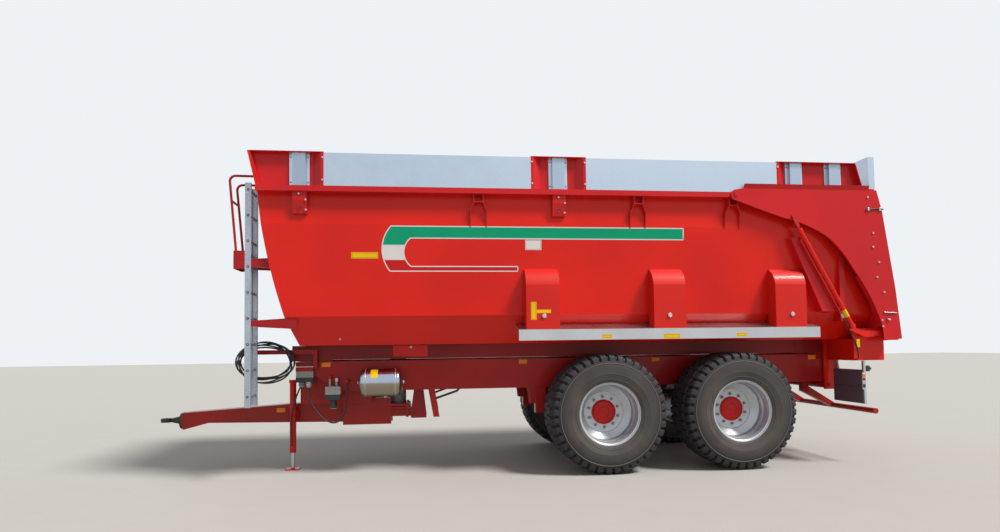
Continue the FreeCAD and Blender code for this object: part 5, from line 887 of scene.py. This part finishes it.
# webs between the front cross member and the drawbar's housing, the cheeks of the front spring
# hangers, and the shelf in front of the frame
piece("drawbar_webs", "chassis", RED_CHASSIS_SHADE_DUST, joined([
    both(block((-2.690, 0.294, 0.780), (-2.365, 0.306, 1.180))),
    both(block((-2.370, 0.294, 0.780), (-1.850, 0.306, 0.925))),
    both(block((0.112, 0.440, 0.632), (0.243, 0.560, 0.945))),
    block((-2.694, -0.560, 1.234), (-2.4895, 0.560, 1.288))]), "red_paint", False)
piece("hanger_legs", "chassis", RED_CHASSIS_SHADE_DUST,
      both(leaning_plate((-1.172, 0.460, 0.615), (-1.100, 0.540, 0.952), 0.18)), "red_paint",
      False)
# painted shade: these arms belong to the red chassis, and their black stands for the shade they lie
# in
piece("hanger_arms_shade_black", "chassis", BLACK_STEEL, joined([bent_rod(
    [(-1.085, y, 0.830), (-0.990, y, 0.862), (-0.830, y, 0.915), (-0.800, y, 0.945)], 0.013)
    for y in (-0.500, 0.500)]), "black_steel", sharp=40)


# ---- mud flaps and rear lamps
def mud_flap():
    """A moulded flap, closed: behind it is flat, and in front x = x0 - ribs(z) - ridges(y). The
    ribs, 12.5 mm apart, and six broad ridges fill the half below its middle seam."""
    inner, outer, foot, seam, top = 0.650, 1.172, 0.712, 0.91, 1.108
    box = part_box("mud_flaps")
    front, back = box[0][0] + 0.005, box[1][0]
    y = np.concatenate([[inner, 0.6505], np.linspace(0.652, 1.170, 150), [1.1715, outer]])
    z = np.concatenate([np.linspace(foot, 0.905, 120), [0.906, seam, 0.914, 0.9145, top]])
    ribs = 0.0034 * (0.5 - 0.5 * np.cos((z - 0.718) / 0.0125 * math.tau))
    ribs *= (z > 0.718) & (z < 0.905)
    share = ((y - inner) / (outer - inner) * 6.3 - 0.3) % 1.0
    ridges = 0.0012 * np.clip((0.36 - np.abs(share - 0.35)) / 0.06, 0, 1)
    groove = 0.003 * ((z > 0.9055) & (z < 0.9142))
    face = front - ribs - ridges[:, None] * ((z > 0.730) & (z < 0.900)) + groove
    face = np.where(((y < 0.6515) | (y > 1.1705))[:, None], front + 0.001, face)
    ring = np.concatenate([spread(face, y[:, None], z),
                           spread(back, y[:, None], [top + 0.001, foot - 0.001])], 1)
    middle = (front + back) / 2
    return capped(ring, (middle, inner, seam), (middle, outer, seam))


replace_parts(piece("mud_flap_sheets", "tub", FLAP, both(mud_flap()), "rubber", sharp=35),
            "mud_flaps")
LENS = [(0, -0.002), (0.030, -0.002), (0.030, 0.004), (0.026, 0.0075), (0.014, 0.0100),
        (0, 0.0108)]
for kind, lens, y in (("red", RED_LENS, 1.080), ("orange", ORANGE_LENS, 1.134)):
    pair(f"lamp_{kind}_SIDE", "tub", lens, turned(LENS, (3.9515, y, 0.935), "x"), "rubber",
         sharp=40)
for kind, lens, *edges in (
        ("orange", ORANGE_LENS, 3.906, 3.940, 1.030, 1.066),
        ("red", RED_LENS, 3.906, 3.940, 0.985, 1.018),
        ("black", BLACK_PLASTIC, 3.908, 3.938, 0.900, 0.945)):
    reflector(f"cheek_{kind}_SIDE", "tub", lens, *edges, 1.1895, "rubber", 0.006)
pair("lamp_junction_SIDE", "tub", BLACK_PLASTIC, joined([
    block((3.9455, 1.148, 1.090), (4.006, 1.188, 1.158), 0.006),
    block((4.004, 1.158, 1.110), (4.030, 1.178, 1.136), 0.004)]), "rubber", False)


# ---- tailgate furniture
DOOR_HOSE = np.array([
    (3.6306, 1.235, 1.7666), (3.693, 1.235, 1.6525), (3.775, 1.226, 1.490),
    (3.845, 1.195, 1.385), (3.885, 1.160, 1.300), (3.885, 1.160, 1.2393)])
pair("tailgate_handle_SIDE", "tailgate", BLACK_STEEL, bent_rod(
    [(3.985, 1.2455, 2.992), (4.040, 1.2475, 3.001), (4.105, 1.2480, 3.010),
     (4.170, 1.2475, 3.010), (4.206, 1.2465, 3.004)], 0.0075), "black_steel", sharp=40)
pair("handle_lugs_SIDE", "tailgate", BOLT, joined([
    block((x, 1.2385, 2.984), (x + 0.022, 1.2570, 3.024)) for x in (4.003, 4.150)]),
    "galvanised", False)
pair("tailgate_latch_SIDE", "tailgate", STAINLESS, joined([
    bent_rod([(4.165, 1.2465, 1.784), (4.220, 1.2480, 1.778), (4.285, 1.2480, 1.777),
              (4.330, 1.2465, 1.772)], 0.0070),
    bent_rod([(4.205, 1.2440, 1.700), (4.240, 1.2450, 1.694)], 0.0120)]), "galvanised", sharp=40)
# a blank label wrapped round each barrel, and the hose's fitting under it
BARREL = (3.765, 1.235, 1.625), (3.065, 1.235, 2.905)
pair("label_barrel_SIDE", "door_barrel_SIDE", YELLOW_FILM,
     rod_along(*BARREL, (0.125, 0.170, 0.215), 0.0276, 32), "red_paint", sharp=40)
pair("hose_fitting_SIDE", "tub", BOLT,
     rod_along(*DOOR_HOSE[:2], (-0.012, 0.020, 0.052), 0.0125), "galvanised", sharp=40)


# ---- hoses
HOSE_RADIUS = 0.009


def hose(name, body, route, node):
    """A rubber hose on a smooth line whose control points are the route's points."""
    curve = bpy.data.curves.new(name, "CURVE")
    curve.dimensions = "3D"
    line = curve.splines.new("NURBS")
    line.points.add(len(route) - 1)
    line.points.foreach_set("co", np.hstack([route, np.ones((len(route), 1))]).ravel())
    line.order_u = 3
    line.use_endpoint_u = True
    line.resolution_u = 12
    curve.bevel_depth = HOSE_RADIUS
    curve.bevel_resolution = 4
    curve.use_fill_caps = True
    curve.materials.append(HOSE)
    made = placed(name, curve)
    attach(made, body)
    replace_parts(made, node)


def coil_route():
    """Hose wound on two pegs: turns of an oval that drift across the band and change in size from
    turn to turn, x = a cos t and z = b sin t with a and b swaying slowly."""
    turns, per_turn = 5, 14
    t = np.linspace(0, turns * math.tau, turns * per_turn + 1)
    a = 0.306 + 0.034 * np.sin(1.31 * t + 0.6)
    b = 0.208 + 0.034 * np.sin(0.83 * t + 2.0)
    return spread(-3.010 + a * np.cos(t + 0.35),
                  -0.660 + 0.032 * np.cos(t / t[-1] * math.pi * 4.2),
                  1.290 + b * np.sin(t + 0.35))


# a hose coupling: a ribbed sleeve, a collar and a nose
COUPLING = [
    (0.0095, -0.004), (0.0125, -0.002), (0.0125, 0.006), (0.0115, 0.008), (0.0125, 0.010),
    (0.0125, 0.018), (0.0115, 0.020), (0.0125, 0.022), (0.0125, 0.030), (0.0165, 0.032),
    (0.0165, 0.052), (0.0125, 0.054), (0.0125, 0.066), (0.0090, 0.070), (0.0090, 0.082),
    (0.0002, 0.083)]
hose("brake_hose_line", "chassis", [
    (-2.545, -0.565, 1.0037), (-2.545, -0.565, 0.900), (-2.475, -0.610, 0.745),
    (-2.345, -0.640, 0.610), (-2.215, -0.640, 0.575), (-2.125, -0.640, 0.690),
    (-2.105, -0.640, 0.860), (-2.105, -0.640, 1.0497)], "brake_hose")
hose("jack_hose_line", "chassis", [
    (-2.4903, -0.300, 1.130), (-2.600, -0.300, 1.130), (-2.690, -0.302, 1.000),
    (-2.760, -0.303, 0.810), (-2.806, -0.303, 0.600), (-2.790, -0.303, 0.410),
    (-2.790, -0.303, 0.2853)], "jack_hose")
for side_name, side in SIDES:
    hose(f"tailgate_hose_{side_name}_line", "tub", DOOR_HOSE * (1, side, 1),
         f"tailgate_hose_{side_name}")
coil = coil_route()
plug = piece("hose_coil_coupling", "chassis", BOLT,
             turned_about(COUPLING, coil[-1], coil[-1] - coil[-2], 20, OUTWARD), "rubber")
hose("hose_coil_line", "chassis", coil, "hose_coil")


# ---- stage
def stage():
    """A pale floor, even sky light and one broad soft lamp from the upper right. What a camera, a
    mirror or glass sees of the sky is brighter than what it lights with."""
    size = 60
    mesh = bpy.data.meshes.new("floor")
    mesh.from_pydata([(-size, -size, 0), (size, -size, 0), (size, size, 0), (-size, size, 0)], [],
                     [(0, 1, 2, 3)])
    made, node, fill, place = finish("studio_floor", {"Roughness": 0.9})
    speckle = node("TexNoise", {"Vector": place, "Scale": 3.0, "Detail": 3.0})
    fill({"Base Color": node("Mix", {0: speckle, 6: "#adaba7", 7: "#a8a6a2"}, **COLOURS)})
    mesh.materials.append(made)
    placed("floor", mesh)
    world = bpy.data.worlds.new("studio_light")
    bpy.context.scene.world = world
    world.use_nodes = True
    tree = world.node_tree
    seen = 0.0
    for ray in ("Is Camera Ray", "Is Glossy Ray", "Is Transmission Ray"):
        seen = add(tree, "Math", {0: seen, 1: add(tree, "LightPath", {}, ray)},
                   operation="MAXIMUM")
    put(tree, tree.nodes["Background"], {
        "Color": (0.93, 0.965, 1.0, 1.0),
        "Strength": add(tree, "MapRange", {"Value": seen, "To Min": 0.50, "To Max": 0.92})})
    lamp = bpy.data.lights.new("broad_lamp", "SUN")
    lamp.energy = 4.2
    lamp.angle = math.radians(15)
    lamp.color = (1.0, 0.965, 0.91)
    placed("broad_lamp", lamp).rotation_euler = Vector(
        (0.62, -0.42, 0.95)).to_track_quat("Z", "Y").to_euler()
    bpy.context.scene.view_settings.view_transform = "Standard"


def camera():
    """Stands at the left of the trailer, a little ahead of its middle, at chest height."""
    stand = (-1.1529, -7.9854, 1.4421)
    yaw, pitch, roll = 0.1136, 0.0423, -0.013
    lens = bpy.data.cameras.new("camera")
    lens.sensor_width = 36
    lens.lens = lens.sensor_width * 0.62085
    lens.shift_y = 0.0539
    lens.clip_end = 400
    made = placed("camera", lens)
    made.matrix_world = (
        Matrix.Translation(stand) @ Matrix.Rotation(-yaw, 4, "Z")
        @ Matrix.Rotation(math.pi / 2 + pitch, 4, "X") @ Matrix.Rotation(roll, 4, "Z"))
    bpy.context.scene.camera = made


stage()
camera()
